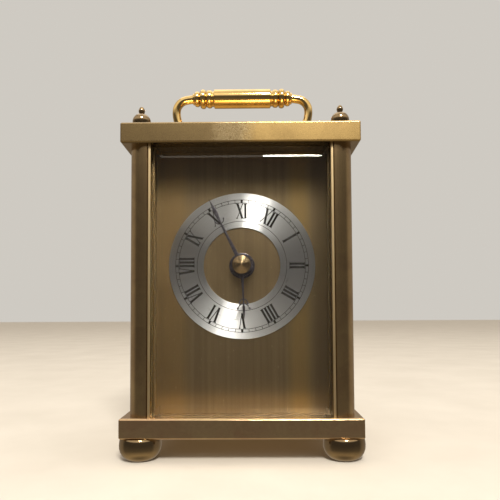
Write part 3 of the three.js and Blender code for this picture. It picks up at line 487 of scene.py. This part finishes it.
def clear_glass():
    """Clear glass with faint wiping marks in its gloss."""
    look = Look("clear_glass", Transmission_Weight=1.0, IOR=1.5)
    place = look.millimetres((0.35, 1, 0.12), (0, 0.5, 0))
    smear = look.ramp(look.noise(place, 0.35, 4, 0.6, 1.2), (0.52, 0.0), (0.8, 0.05))
    return look.finish((0.97, 0.985, 0.975), smear)


def plastic(name, light, dark, rough, depth=0.02):
    """Moulded plastic: spark-eroded grain, faint flow marks and handling shine."""
    look = Look(name, Specular_IOR_Level=0.45)
    place = look.millimetres()
    flow = look.noise(place, 0.12, 3, 0.5, 0.8)
    grain = look.noise(place, 4.5, 3, 0.6)
    colour = look.mix(look.ramp(flow, (0.3, 0.0), (0.7, 1.0)), light, dark)
    gloss = look.plus(look.times(flow, 0.15), rough - 0.07)
    return look.finish(colour, gloss, grain, 0.25, depth)


def circuit_green():
    """Solder resist over traces: thin lighter lines and tinned dots."""
    look = Look("green_board")
    place = look.millimetres()
    upright = look.millimetres(turn=(math.pi / 2, 0, 0))
    traces = look.add("ShaderNodeTexBrick", {
        "Vector": upright, "Scale": 0.35, "Mortar Size": 0.05,
        "Color1": (0, 0, 0), "Color2": (0, 0, 0), "Mortar": (1, 1, 1)}).outputs["Color"]
    pads = look.ramp(look.add("ShaderNodeTexVoronoi", {"Vector": place, "Scale": 0.3}).outputs["Distance"],
                     (0.16, 1.0), (0.2, 0.0))
    colour = look.mix(traces, (0.012, 0.085, 0.03), (0.03, 0.19, 0.07))
    colour = look.mix(pads, colour, (0.6, 0.6, 0.58))
    rough = look.plus(look.times(look.noise(place, 2, 3), 0.2), 0.3)
    return look.finish(colour, rough, look.plus(traces, pads), 0.4, 0.03, Metallic=pads)


def copper_winding():
    """Enamelled wire laid turn on turn."""
    look = Look("copper_winding", Metallic=1.0, Coat_Weight=0.6)
    place = look.millimetres()
    turns = look.add("ShaderNodeTexWave", {"Vector": place, "Scale": 0.9, "Distortion": 0.6,
                                           "Detail": 1.0}, bands_direction="Z").outputs["Fac"]
    colour = look.mix(turns, (0.20, 0.06, 0.025), (0.72, 0.31, 0.14))
    rough = look.plus(look.times(look.noise(place, 1.5, 3), 0.2), 0.2)
    return look.finish(colour, rough, turns, 0.8, 0.08)


def cell_sleeve(centre, half):
    """A battery's shrink sleeve: a slate body, a light band near the button end, and bare metal at
    both ends. half is half the cell's length."""
    look = Look("cell_sleeve", Coat_Weight=0.3)
    place = look.millimetres(move=-centre)
    x = look.part(place, 0)
    band = look.between(x, half - 12, half - 9, 0.05)
    metal = look.math("SUBTRACT", 1.0, look.between(x, 1.2 - half, half - 1.9, 0.1))
    scuff = look.noise(look.millimetres((0.2, 1, 1)), 1.4, 4, 0.7)
    colour = look.mix(look.ramp(scuff, (0.3, 0.0), (0.75, 1.0)), (0.07, 0.10, 0.15), (0.11, 0.145, 0.20))
    colour = look.mix(band, colour, (0.62, 0.63, 0.62))
    colour = look.mix(metal, colour, (0.55, 0.55, 0.53))
    rough = look.plus(look.times(scuff, 0.2), 0.25)
    return look.finish(colour, rough, scuff, Metallic=metal)


def plated_steel():
    """Nickel-plated spring steel, its shine a little dimmed."""
    look = Look("plated_steel", Metallic=1.0)
    place = look.millimetres()
    cloud = look.noise(place, 0.6, 4, 0.6)
    colour = look.ramp(cloud, (0.3, (0.66, 0.65, 0.62)), (0.75, (0.46, 0.44, 0.41)))
    rough = look.plus(look.times(look.noise(look.millimetres((1, 1, 6)), 2, 3), 0.2), 0.22)
    return look.finish(colour, rough, cloud)


TURNED_X = polished_brass("brass_turned", (9, 0.4, 0.4))
# painted shade: a darker copy of the polished brass, so the feet look shaded; the finials and the door knob
# share it
TURNED_Z = polished_brass("brass_foot", (0.4, 0.4, 9), (0.36, 0.27, 0.15), (0.26, 0.19, 0.11), 0.12)
# painted highlight along each pillar's inner edge, from the last argument
UPRIGHT = polished_brass("brass_pillar", (5, 5, 0.06), (0.60, 0.45, 0.24), (0.44, 0.31, 0.17), 0.2,
                         painted_edge_highlight=(PILLAR_INNER + 0.1, PILLAR_INNER + 1.0))
BASE_BRASS = polished_brass("brass_base", (0.06, 4, 4), (0.78, 0.60, 0.36), (0.68, 0.47, 0.29), 0.2)
HANDLE_BRASS = polished_brass("brass_handle", (1.5, 1.5, 1.5), (0.88, 0.64, 0.26), (0.66, 0.46, 0.17), 0.1)
TOP_BRASS = satin_plate()
# painted light on the dial plate: lighter stretches at the left side and right of the middle, and a painted
# shadow of the right pillar darkening the right side
DIAL_BRASS = brushed_brass(
    "brass_brushed_dial", (1, 1, 0.012), (0.28, 0.204, 0.112), (0.225, 0.164, 0.090),
    painted_light_bands=[(-32, -27, 7, (0.33, 0.225, 0.10)), (23, 25, 6, (0.35, 0.24, 0.095)),
           (33, 60, 6, (0.19, 0.14, 0.075))])
DOOR_BRASS = brushed_brass("brass_brushed_door", (1, 1, 0.015), (0.58, 0.43, 0.18), (0.42, 0.30, 0.12))
PANEL_BRASS = brushed_brass("brass_brushed_panel", (1, 1, 0.015), (0.56, 0.41, 0.17), (0.40, 0.28, 0.12), 0)
SILVER = spun_metal("silvered_ring", (0.72, 0.74, 0.78), (0.58, 0.595, 0.63), 4.0, 0.29, 0.97)
CAP_METAL = spun_metal("brass_cap", (0.46, 0.35, 0.21), (0.28, 0.20, 0.11), 6.0, 0.22, 0.9)
BLACK_METAL = blackened_metal()
INK = ink()
GLASS = clear_glass()
BLACK_PLASTIC = plastic("black_plastic", (0.022, 0.022, 0.023), (0.012, 0.012, 0.013), 0.42)
WHITE_PLASTIC = plastic("white_plastic", (0.80, 0.78, 0.71), (0.70, 0.67, 0.58), 0.4, 0.01)
MAGNET = plastic("magnet_block", (0.045, 0.043, 0.042), (0.028, 0.027, 0.027), 0.6, 0.05)
GREEN_BOARD = circuit_green()
COPPER = copper_winding()
STEEL = plated_steel()


# ---- case ----
def plate(node, look):
    """A thick plate with a narrow chamfer round both rims, every arris a little eased: rectangles
    stacked up, drawn in where the chamfers are."""
    low, high = span(node)
    half = (high - low) / 2
    cut, flat, arris = 0.55, 4, 0.12
    bottom, top = low[2], high[2]
    steps = rounded([(flat, bottom), (cut, bottom), (0, bottom + cut),
                     (0, top - cut), (cut, top), (flat, top)], arris, 3, closed=False)
    piece(f"{node}_finished", [stacked(rectangle(half[0], half[1], cut), steps, "z")], look, node)


def pillar_section(side):
    """Outline of a pillar from its inner corner: grooves for glass and side panel, a flat fillet
    beside each outer edge, and a quarter-round between the fillets."""
    fillet, nick, groove, corner = 1.1, 0.35, 1.0, side - 1.5
    arris, edge = 0.12, 0.45
    turn = np.linspace(0, np.pi / 2, 17)
    arc = columns(np.cos(turn), np.sin(turn)) * corner + (side - corner)
    panel = (side - 4.9, side - 3.6)
    glass = (side - 5.15, side - 2.85)
    start = rounded([(0, 0), (panel[0], 0), (panel[0], groove), (panel[1], groove), (panel[1], 0),
                     (side, 0), (side, fillet), (side - nick, fillet + nick / 2)],
                    (arris, arris, arris, arris, arris, edge, edge, arris), 4)
    end = rounded([(fillet + nick / 2, side - nick), (fillet, side), (0, side), (0, glass[1]),
                   (groove, glass[1]), (groove, glass[0]), (0, glass[0])],
                  (arris, edge, edge, arris, arris, arris, arris), 4)
    return np.concatenate([start, arc, end])


def pillar(place, sx, sy):
    """A pillar: its section carried straight up from the base plate to the top plate."""
    low, high = span(f"pillar_{place}")
    inner = np.where([sx > 0, sy > 0], low[:2], high[:2])
    outline = pillar_section(high[0] - low[0]) * (sx, sy) + inner
    rings = [np.insert(outline, 2, z, axis=1) for z in (low[2], high[2])]
    piece(f"pillar_{place}_finished", [shell(rings)], UPRIGHT, f"pillar_{place}")


def foot(place):
    """A bun foot: a quarter ellipse from the flat sole out to the widest place, and a flatter one
    back in to the plate, turned about an upright axis."""
    low, high = span(f"foot_{place}")
    centre = (low + high) / 2
    top = span("base_plate")[0][2]
    widest, middle, sole, shoulder = (high[0] - low[0]) / 2, 5.3, 3.7, 0.9
    below = np.linspace(np.pi / 2, 0, 16)
    above = np.linspace(0, np.pi / 2, 10)[1:]
    profile = np.concatenate([
        [(sole - 0.5, low[2])],
        columns(sole + (widest - sole) * np.cos(below), middle * (1 - np.sin(below))),
        columns(widest - shoulder * (1 - np.cos(above)), middle + (top - middle) * np.sin(above))])
    piece(f"foot_{place}_finished", [turned(profile, "z", (centre[0], centre[1], 0))],
          TURNED_Z, f"foot_{place}")


def finial(place):
    """A finial: a skirt, an elliptic dome, a narrow neck and a teardrop knop, turned about an
    upright axis."""
    low, high = span(f"finial_{place}")
    centre = (low + high) / 2
    widest = (high[0] - low[0]) / 2
    rise = np.linspace(0, math.radians(72), 12)
    dome_foot, dome_height = 2.6, 3.3
    dome = columns(widest * np.cos(rise), dome_foot + dome_height * np.sin(rise))
    skirt = through([(3.0, 0), (3.45, 0.9), (3.62, 1.9)], 4)[:-1]
    knop = through([(1.0, 5.75), (1.05, 6.1), (1.28, 6.9), (1.15, 7.7), (0.7, 8.45), (0.08, 8.88)], 5)
    profile = np.concatenate([skirt, dome, knop]) + (0, TOP_TOP)
    piece(f"finial_{place}_finished", [turned(profile, "z", (centre[0], centre[1], 0), 48)],
          TURNED_Z, f"finial_{place}")


def front_glass():
    """A pane with a broad bevel: outlines step in from the edge to the bevel's inner line as the
    front rises."""
    low, high = span("front_glass")
    half, centre = (high - low) / 2, (low + high) / 2
    bevel, edge, flat = 4.6, 1.9, 9
    back, front = high[1], low[1]
    steps = rounded([(flat, back), (0, back), (0, back - edge), (bevel, front), (flat, front)],
                    (0, 0.08, 0.1, 0.25, 0), 3, closed=False)
    outline = rectangle(half[0], half[2], 0.12, 1)
    pane = piece("front_glass_bevelled", [stacked(outline, steps, "y", (0, 0, centre[2]))],
                 GLASS, "front_glass", crease=4)
    pane.visible_shadow = False          # the lamps light the dial through it


# ---- dial ----
def dial_plate():
    """A sheet folded forward along both sides: its section, a shallow channel, carried upwards."""
    low, high = span("dial_plate")
    x, lip, back = high[0], low[1], high[1]
    sheet, wall = 1.0, 0.8
    front = back - sheet
    section = rounded(
        [(-x, lip), (-x + wall, lip), (-x + wall, front), (x - wall, front), (x - wall, lip), (x, lip),
         (x, back), (-x, back)], (0.1, 0.1, 0.5, 0.5, 0.1, 0.1, 1.0, 1.0), 4)
    rings = [np.insert(section, 2, z, axis=1) for z in (BASE_TOP + FIT, TOP_UNDER - FIT)]
    piece("dial_plate_brushed", [shell(rings)], DIAL_BRASS, "dial_plate")


def ring_profile(inner, outer, front, back, ease):
    """Closed section of a flat ring: a rectangle with its corners eased."""
    return rounded([(inner, front), (outer, front), (outer, back), (inner, back)], ease, 3)


def chapter_ring():
    """A flat silvered ring: its section turned about the hand axis."""
    low, high = span("chapter_ring")
    inner, outer = 16.1, (high[0] - low[0]) / 2
    profile = ring_profile(inner, outer, low[1], high[1], 0.14)
    piece("chapter_ring_silvered", [turned(profile, "y", ON_HAND_AXIS, 180, loop=True)],
          SILVER, "chapter_ring")


NUMERALS = ["XI", "XII", "I", "II", "III", "IIII", "V", "VI", "VII", "VIII", "IX", "X"]
THICK, THIN, PITCH = 0.92, 0.34, 1.48
V_WIDTH, X_WIDTH = 2.6, 2.9
NUMERAL_FOOT, NUMERAL_HEAD = 19.9, 26.3
INNER_CIRCLE, TRACK_INNER, TRACK_OUTER = 18.8, 26.55, 27.85


def letter_strokes(letter, left):
    """Strokes of one letter from its left edge: (foot, head, width) across, and where it ends."""
    if letter == "I":
        middle = left + PITCH / 2
        return [(middle, middle, THICK)], left + PITCH
    if letter == "V":
        middle, right = left + 0.2 + V_WIDTH / 2, left + V_WIDTH
        return [(middle + 0.1, left + 0.5, THICK), (middle + 0.15, right, THIN)], right + 0.4
    right = left + X_WIDTH
    return [(right - 0.35, left + 0.45, THICK), (left + 0.3, right - 0.2, THIN)], right + 0.2


def numeral_quads(text):
    """Outlines of a numeral's strokes and of the bracketed serifs at their ends."""
    strokes, left, pointed = [], 0.0, []
    for letter in text:
        found, left = letter_strokes(letter, left)
        strokes += found
        pointed += [letter == "V"] * len(found)
    foot, head, width = np.array(strokes).T
    foot, head = foot - left / 2, head - left / 2
    low, high, half = 0, NUMERAL_HEAD - NUMERAL_FOOT, width / 2
    serif, bracket, flare = 0.26, 0.42, 0.03

    def quad(x0, x1, z0, x2, x3, z1):
        """Four corners: from x0 to x1 at height z0, then from x2 to x3 at height z1."""
        return np.stack([columns(x0, z0), columns(x1, z0), columns(x2, z1), columns(x3, z1)], 1)

    bars = quad(foot - half, foot + half, low, head + half, head - half, high)
    reach, root = half + serif, half + flare
    tops = quad(head - root, head + root, high - bracket, head + reach, head - reach, high)
    feet = quad(foot - reach, foot + reach, low, foot + root, foot - root, low + bracket)
    return np.concatenate([bars, tops, feet[~np.array(pointed)]])


def round_dial(quads, degrees, radius=0.0):
    """Lifts flat outlines by the radius and turns them clockwise about the hand axis."""
    angle = math.radians(degrees)
    cos, sin = math.cos(angle), math.sin(angle)
    turn = np.array([[cos, sin], [-sin, cos]])
    return (np.asarray(quads) + (0, radius)) @ turn.T + (0, HAND_AXIS[2])


def bar(half, low, high):
    """One upright bar's outline, between two heights."""
    return [[(-half, low), (half, low), (half, high), (-half, high)]]


def dial_print():
    """Numerals, minute track and circles, as a thin layer of ink on the ring."""
    near, far = RING_FRONT - 0.05, RING_FRONT + 0.03
    line, minute_line, hour_mark = 0.1, 0.11, 0.45             # half widths
    marks = [round_dial(numeral_quads(text), 30 * hour, NUMERAL_FOOT) for hour, text in enumerate(NUMERALS)]
    marks += [round_dial(bar(minute_line, TRACK_INNER, TRACK_OUTER), 6 * minute) for minute in range(60)]
    marks += [round_dial(bar(hour_mark, TRACK_INNER - 0.05, TRACK_OUTER + 0.15), 30 * hour)
              for hour in range(12)]
    circles = [turned(ring_profile(r - line, r + line, near, far, 0.01), "y", ON_HAND_AXIS, 120, loop=True)
               for r in (INNER_CIRCLE, TRACK_INNER, TRACK_OUTER)]
    piece("dial_print", [prisms(np.concatenate(marks), near, far)] + circles, INK)


def blade(widths, back, front):
    """A hand's blade. Its section is a superellipse, cosine and sine raised to the same power, and
    its half width runs smoothly through the given (distance from the pivot, half width)."""
    curve = through(widths, 8)
    power, least = 0.55, 0.02
    angle = np.linspace(0, 2 * np.pi, 20, endpoint=False)
    wide, deep = (np.sign(wave) * np.abs(wave) ** power for wave in (np.cos(angle), np.sin(angle)))
    across = np.maximum(curve[:, 1:], least) * wide
    depth = (front + back) / 2 + (back - front) / 2 * deep
    return shell(columns(across, depth, curve[:, :1]))


def curl(points, side, depth, thick, ball):
    """A fine curled wire beside a blade: a tube along a smooth curve, ending in a small ball."""
    path = through([(side * x, depth, z) for x, z in points], 6)
    angle = np.linspace(0.1, np.pi - 0.1, 8)
    knob = columns(ball * np.sin(angle), -ball * np.cos(angle))
    end = path[-1]
    return [tube(path, thick, 10), turned(knob, "y", end, 14)]


def hand(node, shape, degrees, widths, curls, outer, bore, wire):
    """A hand: a round hub, a blade, and pairs of curls with the radii of their balls. It is drawn
    pointing up from the origin, then turned clockwise by its angle and set on the hand axis."""
    low, high = span(node)
    back, front = high[1], low[1]
    hub = turned(ring_profile(bore, outer, front, back, 0.12), "y", (0, 0, 0), 72, loop=True)
    shells = [hub, blade(widths, back, front)]
    for _, side in SIDES:
        for points, ball in curls:
            shells += curl(points, side, (back + front) / 2, wire, ball)
    cos, sin = math.cos(math.radians(degrees)), math.sin(math.radians(degrees))
    turn = np.array([[cos, 0, sin], [0, 1, 0], [-sin, 0, cos]])
    for s in shells:
        s["points"] = s["points"] @ turn.T + ON_HAND_AXIS
    piece(f"{node}_{shape}", shells, BLACK_METAL, node, node)


def hour_hand():
    """The spear-ended hour hand with two pairs of curls."""
    widths = [(3.6, 0.7), (8, 0.5), (13, 0.36), (15.6, 0.3), (17.2, 0.52), (18.6, 0.46), (20.5, 0.24),
              (22.3, 0.04)]
    curls = [([(0.1, 13.9), (0.75, 14.3), (1.5, 15.0), (1.7, 15.9)], 0.45),
             ([(0.1, 15.9), (0.9, 16.2), (1.9, 16.9), (2.45, 17.85)], 0.55)]
    hand("hour_hand", "spear", HOUR_HAND_ANGLE, widths, curls, outer=4.5, bore=2.55, wire=0.23)


def minute_hand():
    """The leaf-ended minute hand with a small cross of curls."""
    widths = [(3.0, 0.85), (9, 0.68), (17, 0.42), (19.6, 0.3), (21.2, 0.5), (23.5, 0.8), (26, 0.55),
              (28.5, 0.24), (30.4, 0.04)]
    curls = [([(0.1, 18.9), (0.8, 19.1), (1.5, 19.6), (1.85, 20.4)], 0.34)]
    hand("minute_hand", "leaf", MINUTE_HAND_ANGLE, widths, curls, outer=3.6, bore=1.45, wire=0.19)


def cap_nut():
    """The conical nut that holds the minute hand: a short rim, then a straight cone, turned about
    the hand axis."""
    low, high = span("hand_nut")
    back, front, radius = high[1], low[1], (high[0] - low[0]) / 2
    bore, rim, tip = 1.5, 0.5, 0.06
    profile = rounded([(bore, back), (radius, back), (radius, back - rim), (tip, front)],
                      (0, 0.1, 0.2, 0), 4, closed=False)
    line = np.linspace(0, 1, 14)[1:, None] * (profile[-1] - profile[-2]) + profile[-2]
    piece("hand_nut_turned", [turned(np.concatenate([profile[:-1], line]), "y", ON_HAND_AXIS, 96)],
          CAP_METAL, "hand_nut", "minute_hand")


# ---- handle ----
ARM_RADIUS, BARREL_RADIUS = 1.9, 4.25
EYE_STATION, POST_STATION = 27.9, 23.0


def bead(start, end, neck, crown):
    """A bead's outline: half an ellipse bulging from the neck between two stations."""
    turn = np.linspace(0, np.pi, 9)
    station = (start + end) / 2 - (end - start) / 2 * np.cos(turn)
    return columns(neck + (crown - neck) * np.sin(turn), station)


def handle_grip():
    """The turned grip: a plain barrel between grooves, three beads and a collar on each side. Half
    the profile is drawn outwards from the middle, mirrored and turned about the grip's axis."""
    low, high = span("handle_grip")
    crown = (high[2] - low[2]) / 2
    barrel = rounded([(BARREL_RADIUS, 0), (BARREL_RADIUS, 13), (3.5, 13.15), (3.4, 13.9)],
                     (0, 0.3, 0.1, 0), 4, closed=False)
    collar = rounded([(2.65, 22.2), (2.5, 22.95), (ARM_RADIUS, 23.0)], (0, 0.2, 0), 3, closed=False)
    half = np.concatenate([
        barrel, bead(14.0, 16.6, 3.35, crown - 0.3), bead(16.75, 19.6, 3.2, crown),
        bead(19.75, 22.1, 2.75, crown - 0.9), collar])
    left = half[::-1] * (1, -1)
    profile = np.concatenate([left, half[1:]])
    piece("handle_grip_turned", [turned(profile, "x", (0, 0, GRIP_Z), 72)],
          HANDLE_BRASS, "handle_grip", "handle")


def handle_arm(place, side):
    """A round bar bent out and down from the grip to a flat-faced eye on the pivot: a circle
    carried along a smooth path of (distance out, drop below the grip)."""
    low, high = span(f"handle_arm_{place}")
    wide = max(abs(low[0]), abs(high[0])) - ARM_RADIUS
    route = [(19.4, 0), (22.4, 0), (27.4, 0.9), (wide - 0.65, 3.4), (wide, 6.4), (wide - 0.55, 10.2),
             (28.8, 13.1), (EYE_STATION, 15.8), (EYE_STATION, 16.9)]
    path = through([(side * x, 0, GRIP_Z - drop) for x, drop in route], 7)
    bore, rim = 1.65, 3.7
    ring = turned(ring_profile(bore, rim, -ARM_RADIUS, ARM_RADIUS, 0.45), "x",
                  (side * EYE_STATION, 0, PIVOT[2]), 48, loop=True)
    piece(f"handle_arm_{place}_bent", [tube(path, ARM_RADIUS, 32), ring],
          HANDLE_BRASS, f"handle_arm_{place}", "handle")


def handle_post(place, side):
    """An upright lug with a round head: arched outlines stacked across its thickness."""
    low, high = span(f"handle_post_{place}")
    half, pivot = (high[1] - low[1]) / 2, PIVOT[2]

    def arch(inset):
        """The lug's outline drawn in by the inset: straight sides under half a circle."""
        turn = np.linspace(0, np.pi, 25)
        r = half - inset
        crown = columns(r * np.cos(turn), pivot + r * np.sin(turn))
        return np.concatenate([[(-r, TOP_TOP), (r, TOP_TOP)], crown])

    piece(f"handle_post_{place}_lug", [stacked(arch, soft_edges(low[0], high[0], 0.35), "x")],
          HANDLE_BRASS, f"handle_post_{place}")


def handle_screw(place, side):
    """A slotted round-head screw: cross sections along the width of the head, with the dome's
    height lowered where the slot crosses."""
    low, high = span(f"handle_screw_{place}")
    head, rim, dome, slot_floor = 1.65, 0.55, 1.05, 0.75
    radius, slot, shank_radius = 2.7, 0.3, 1.4
    tip = high[0] if side > 0 else low[0]
    seat = tip - side * head
    turn = np.linspace(-0.49 * np.pi, 0.49 * np.pi, 21)
    x = np.concatenate([radius * np.sin(turn[:10]), [-slot, -slot, slot, slot], radius * np.sin(turn[11:])])
    sunk = np.isin(np.arange(len(x)), (11, 12))          # the two sections on the slot's floor
    chord = np.sqrt(radius ** 2 - x ** 2)[:, None]
    across = np.linspace(-1, 1, 15)[None, :] * chord
    fall = (x[:, None] ** 2 + across ** 2) / radius ** 2
    crown = rim + dome * np.sqrt(np.maximum(1 - 0.98 * fall, 0))
    crown = np.where(sunk[:, None], slot_floor, crown)
    top = columns(x[:, None], across, crown)
    under = columns(x[:, None], across[:, ::-1], 0)
    ring = np.concatenate([top, under], 1)
    rings = columns(seat + side * ring[..., 2], ring[..., 1], PIVOT[2] + ring[..., 0])
    shank = turned([(shank_radius, seat), (shank_radius, side * POST_STATION)], "x", (0, 0, PIVOT[2]), 24)
    piece(f"handle_screw_{place}_slotted", [shell(rings), shank],
          HANDLE_BRASS, f"handle_screw_{place}")


# ---- rear door and movement ----
def rear_door():
    """The door: a sheet whose hinge side is rolled round, carried upwards."""
    low, high = span("rear_door")
    centre, radius = (low[1] + high[1]) / 2, (high[1] - low[1]) / 2
    turn = np.linspace(-np.pi / 2, np.pi / 2, 13)

    def outline(inset):
        """The door's section drawn in by the inset: half a circle, then the sheet's free edge."""
        r = radius - inset
        roll = columns(high[0] - radius + r * np.cos(turn), centre + r * np.sin(turn))
        free = [(low[0] + inset, centre + r), (low[0] + inset, centre - r)]
        edge = rounded(free + [(0, centre)], 0.25, 3)[:12]          # six points for each free corner
        return np.concatenate([roll, edge])

    piece("rear_door_sheet", [stacked(outline, soft_edges(low[2], high[2], 0.25, 3), "z")],
          DOOR_BRASS, "rear_door", "rear_door")


def door_knob():
    """A small turned pull on the door's free side: shank, collar and button in one profile."""
    low, high = span("door_knob")
    centre = (low + high) / 2
    back = high[1]
    profile = np.concatenate([
        [(0.85, back - 5.7), (0.85, back - 3.3)],
        rounded([(2.1, back - 3.25), (2.1, back - 2.95), (0.95, back - 2.6)], (0, 0.1, 0), 3, closed=False),
        through([(0.9, back - 2.4), (1.2, back - 2.1), (1.9, back - 1.6), (2.1, back - 1.0),
                 (1.75, back - 0.4), (0.9, back - 0.06), (0.1, back)], 5)])
    piece("door_knob_turned", [turned(profile, "y", (centre[0], 0, centre[2]), 48)],
          TURNED_Z, "door_knob", "rear_door")


def battery():
    """The cell: a sleeve turned in over each end, and the button contact, in one turned profile."""
    low, high = span("battery")
    centre, radius = (low + high) / 2, (high[1] - low[1]) / 2
    half = (high[0] - low[0]) / 2
    lip = radius - 0.9
    profile = rounded([(0.3, -half), (lip - 0.3, -half), (lip, 0.35 - half), (radius, 0.5 - half),
                       (radius, half - 1.5), (lip, half - 1.3), (2.7, half - 1.1), (2.6, half), (0.3, half)],
                      (0, 0.2, 0.2, 0.4, 0.4, 0.2, 0.15, 0.3, 0), 3, closed=False)
    piece("battery_cell", [turned(profile, "x", centre, 64)],
          cell_sleeve(centre, half), "battery", "battery")


def dress(look, *names, ease=0.0):
    """Gives kept CAD nodes their look, and eases their edges."""
    for name in names:
        node = frame["nodes"][name]
        node.material_slots[0].material = look
        if ease:
            weld = node.modifiers.new("weld", "WELD")
            weld.merge_threshold = 0.001 * MM
            bevel = node.modifiers.new("eased", "BEVEL")
            bevel.width, bevel.segments, bevel.limit_method = ease * MM, 2, "ANGLE"


def case_pieces():
    """The case, from its feet to its finials."""
    plate("base_plate", BASE_BRASS)
    plate("top_plate", TOP_BRASS)
    for place, sx, sy in CORNERS:
        pillar(place, sx, sy)
        foot(place)
        finial(place)
    front_glass()


def dial_pieces():
    """The dial plate and what it carries."""
    dial_plate()
    chapter_ring()
    dial_print()
    hour_hand()
    minute_hand()
    cap_nut()


def handle_pieces():
    """The handle, its posts and its screws."""
    handle_grip()
    for place, side in SIDES:
        handle_arm(place, side)
        handle_post(place, side)
        handle_screw(place, side)


def rear_pieces():
    """The door, its knob and the battery behind it."""
    rear_door()
    door_knob()
    battery()


def kept_nodes():
    """Looks for the CAD nodes that keep their shape."""
    dress(PANEL_BRASS, "side_panel_left", "side_panel_right")
    dress(BLACK_METAL, "fixing_washer", "fixing_nut", ease=0.15)
    dress(TURNED_X, "minute_arbor", "hour_wheel", "door_pin_upper", "door_pin_lower")
    dress(WHITE_PLASTIC, "centre_wheel", "minute_wheel", "third_wheel", "seconds_wheel")
    dress(BLACK_PLASTIC, "movement_case", "movement_cover", "setting_knob", ease=0.3)
    dress(GREEN_BOARD, "circuit_board")
    dress(COPPER, "drive_coil")
    dress(STEEL, "contact_positive", "contact_negative", "door_strike")
    dress(MAGNET, "door_magnet", ease=0.2)


# ---- studio ----
CAMERA_PLACE = (5.47, -228.87, 57.27)              # millimetres
CAMERA_YAW, CAMERA_PITCH, CAMERA_ROLL = -0.59, 2.53, 0.29          # degrees
FLOOR_REACH, FLOOR_DEPTH = 3000, 20
BACKDROP = (0.62, 0.59, 0.54)


def floor():
    """A plain pale floor."""
    look = Look("pale_floor")
    place = look.millimetres()
    colour = look.ramp(look.noise(place, 0.02, 4), (0.3, (0.60, 0.57, 0.52)), (0.7, (0.66, 0.63, 0.58)))
    look.finish(colour, 0.8, look.noise(place, 1.0, 4), 0.1, 0.05)
    corners = [(FLOOR_REACH * x, FLOOR_REACH * y) for x, y in ((-1, -1), (1, -1), (1, 1), (-1, 1))]
    made = mesh_object("floor", [shell([[(x, y, z) for x, y in corners] for z in (-FLOOR_DEPTH, 0)])],
                       look.material)
    made.visible_glossy = False
    made.visible_transmission = False
    return made


def camera():
    """A camera close in front, a little right of the middle and below it, looking slightly up."""
    yaw, pitch, roll = (math.radians(a) for a in (CAMERA_YAW, CAMERA_PITCH, CAMERA_ROLL))
    level = np.array([math.sin(yaw), math.cos(yaw), 0])
    right = np.array([math.cos(yaw), -math.sin(yaw), 0])
    ahead = math.cos(pitch) * level + np.array([0, 0, math.sin(pitch)])
    up = -math.sin(pitch) * level + np.array([0, 0, math.cos(pitch)])
    tilted_right = math.cos(roll) * right - math.sin(roll) * up
    tilted_up = math.sin(roll) * right + math.cos(roll) * up
    lens = bpy.data.cameras.new("camera")
    lens.lens, lens.sensor_width, lens.shift_y = 36, 36, 0.08
    lens.clip_start = 0.005
    made = bpy.data.objects.new("camera", lens)
    bpy.context.scene.collection.objects.link(made)
    place = Matrix(np.stack([tilted_right, tilted_up, -ahead], 1).tolist()).to_4x4()
    place.translation = np.array(CAMERA_PLACE) * MM
    made.matrix_world = place
    bpy.context.scene.camera = made


def lamp(name, place, aim, size, power, colour):
    """A square soft light at a place in metres, facing a point."""
    light = bpy.data.lights.new(name, "AREA")
    light.size, light.energy, light.color = size, power, colour
    made = bpy.data.objects.new(name, light)
    bpy.context.scene.collection.objects.link(made)
    away = unit(np.subtract(place, aim))
    side = unit(np.cross((0, 0, 1) if abs(away[2]) < 0.99 else (0, 1, 0), away))
    made.matrix_world = Matrix(np.stack([side, np.cross(away, side), away], 1).tolist()).to_4x4()
    made.location = place


def lights():
    """A small lamp high in front, a little to the right, and a large one overhead."""
    dial = HAND_AXIS * MM
    lamp("key", place=dial + (0.12, -0.66, 0.73), aim=dial, size=0.2, power=10.5,
         colour=(1.0, 0.93, 0.82))
    lamp("overhead", place=(0.0, 0.35, 1.2), aim=(0, 0, 0.1), size=1.1, power=4.0,
         colour=(1.0, 0.95, 0.88))


def surroundings():
    """Light by direction: dim and brown ahead, tan beside and behind, bright overhead. Looked at
    straight, it is a plain pale backdrop."""
    world = bpy.data.worlds.new("studio")
    bpy.context.scene.world = world
    world.use_nodes = True
    look = Nodes(world.node_tree)
    direction = look.add("ShaderNodeTexCoord").outputs["Generated"]
    depth, height = (
        look.add("ShaderNodeMapRange", {"Value": look.part(direction, axis), "From Min": -1.0}).outputs[0]
        for axis in (1, 2))
    level = look.ramp(depth, (0.42, (0.110, 0.096, 0.082)), (0.58, (0.32, 0.27, 0.215)))
    rise = look.ramp(height, (0.66, 0.0), (0.75, 1.0), (0.90, 0.9), (1.0, 0.55))
    rise = look.times(rise, look.ramp(depth, (0.42, 1.0), (0.62, 0.5)))
    fall = look.ramp(height, (0.0, 0.3), (0.09, 1.0), (0.28, 0.2), (0.46, 0.0))
    colour = look.mix(rise, level, (1.25, 1.12, 0.95))
    colour = look.mix(fall, colour, (0.62, 0.50, 0.34))
    seen = look.add("ShaderNodeLightPath").outputs["Is Camera Ray"]
    colour = look.mix(seen, colour, BACKDROP)
    look.wire(world.node_tree.nodes["Background"], {"Color": colour, "Strength": 1.0})


case_pieces()
dial_pieces()
handle_pieces()
rear_pieces()
kept_nodes()
floor()
camera()
lights()
surroundings()
bpy.context.scene.view_settings.view_transform = "Standard"
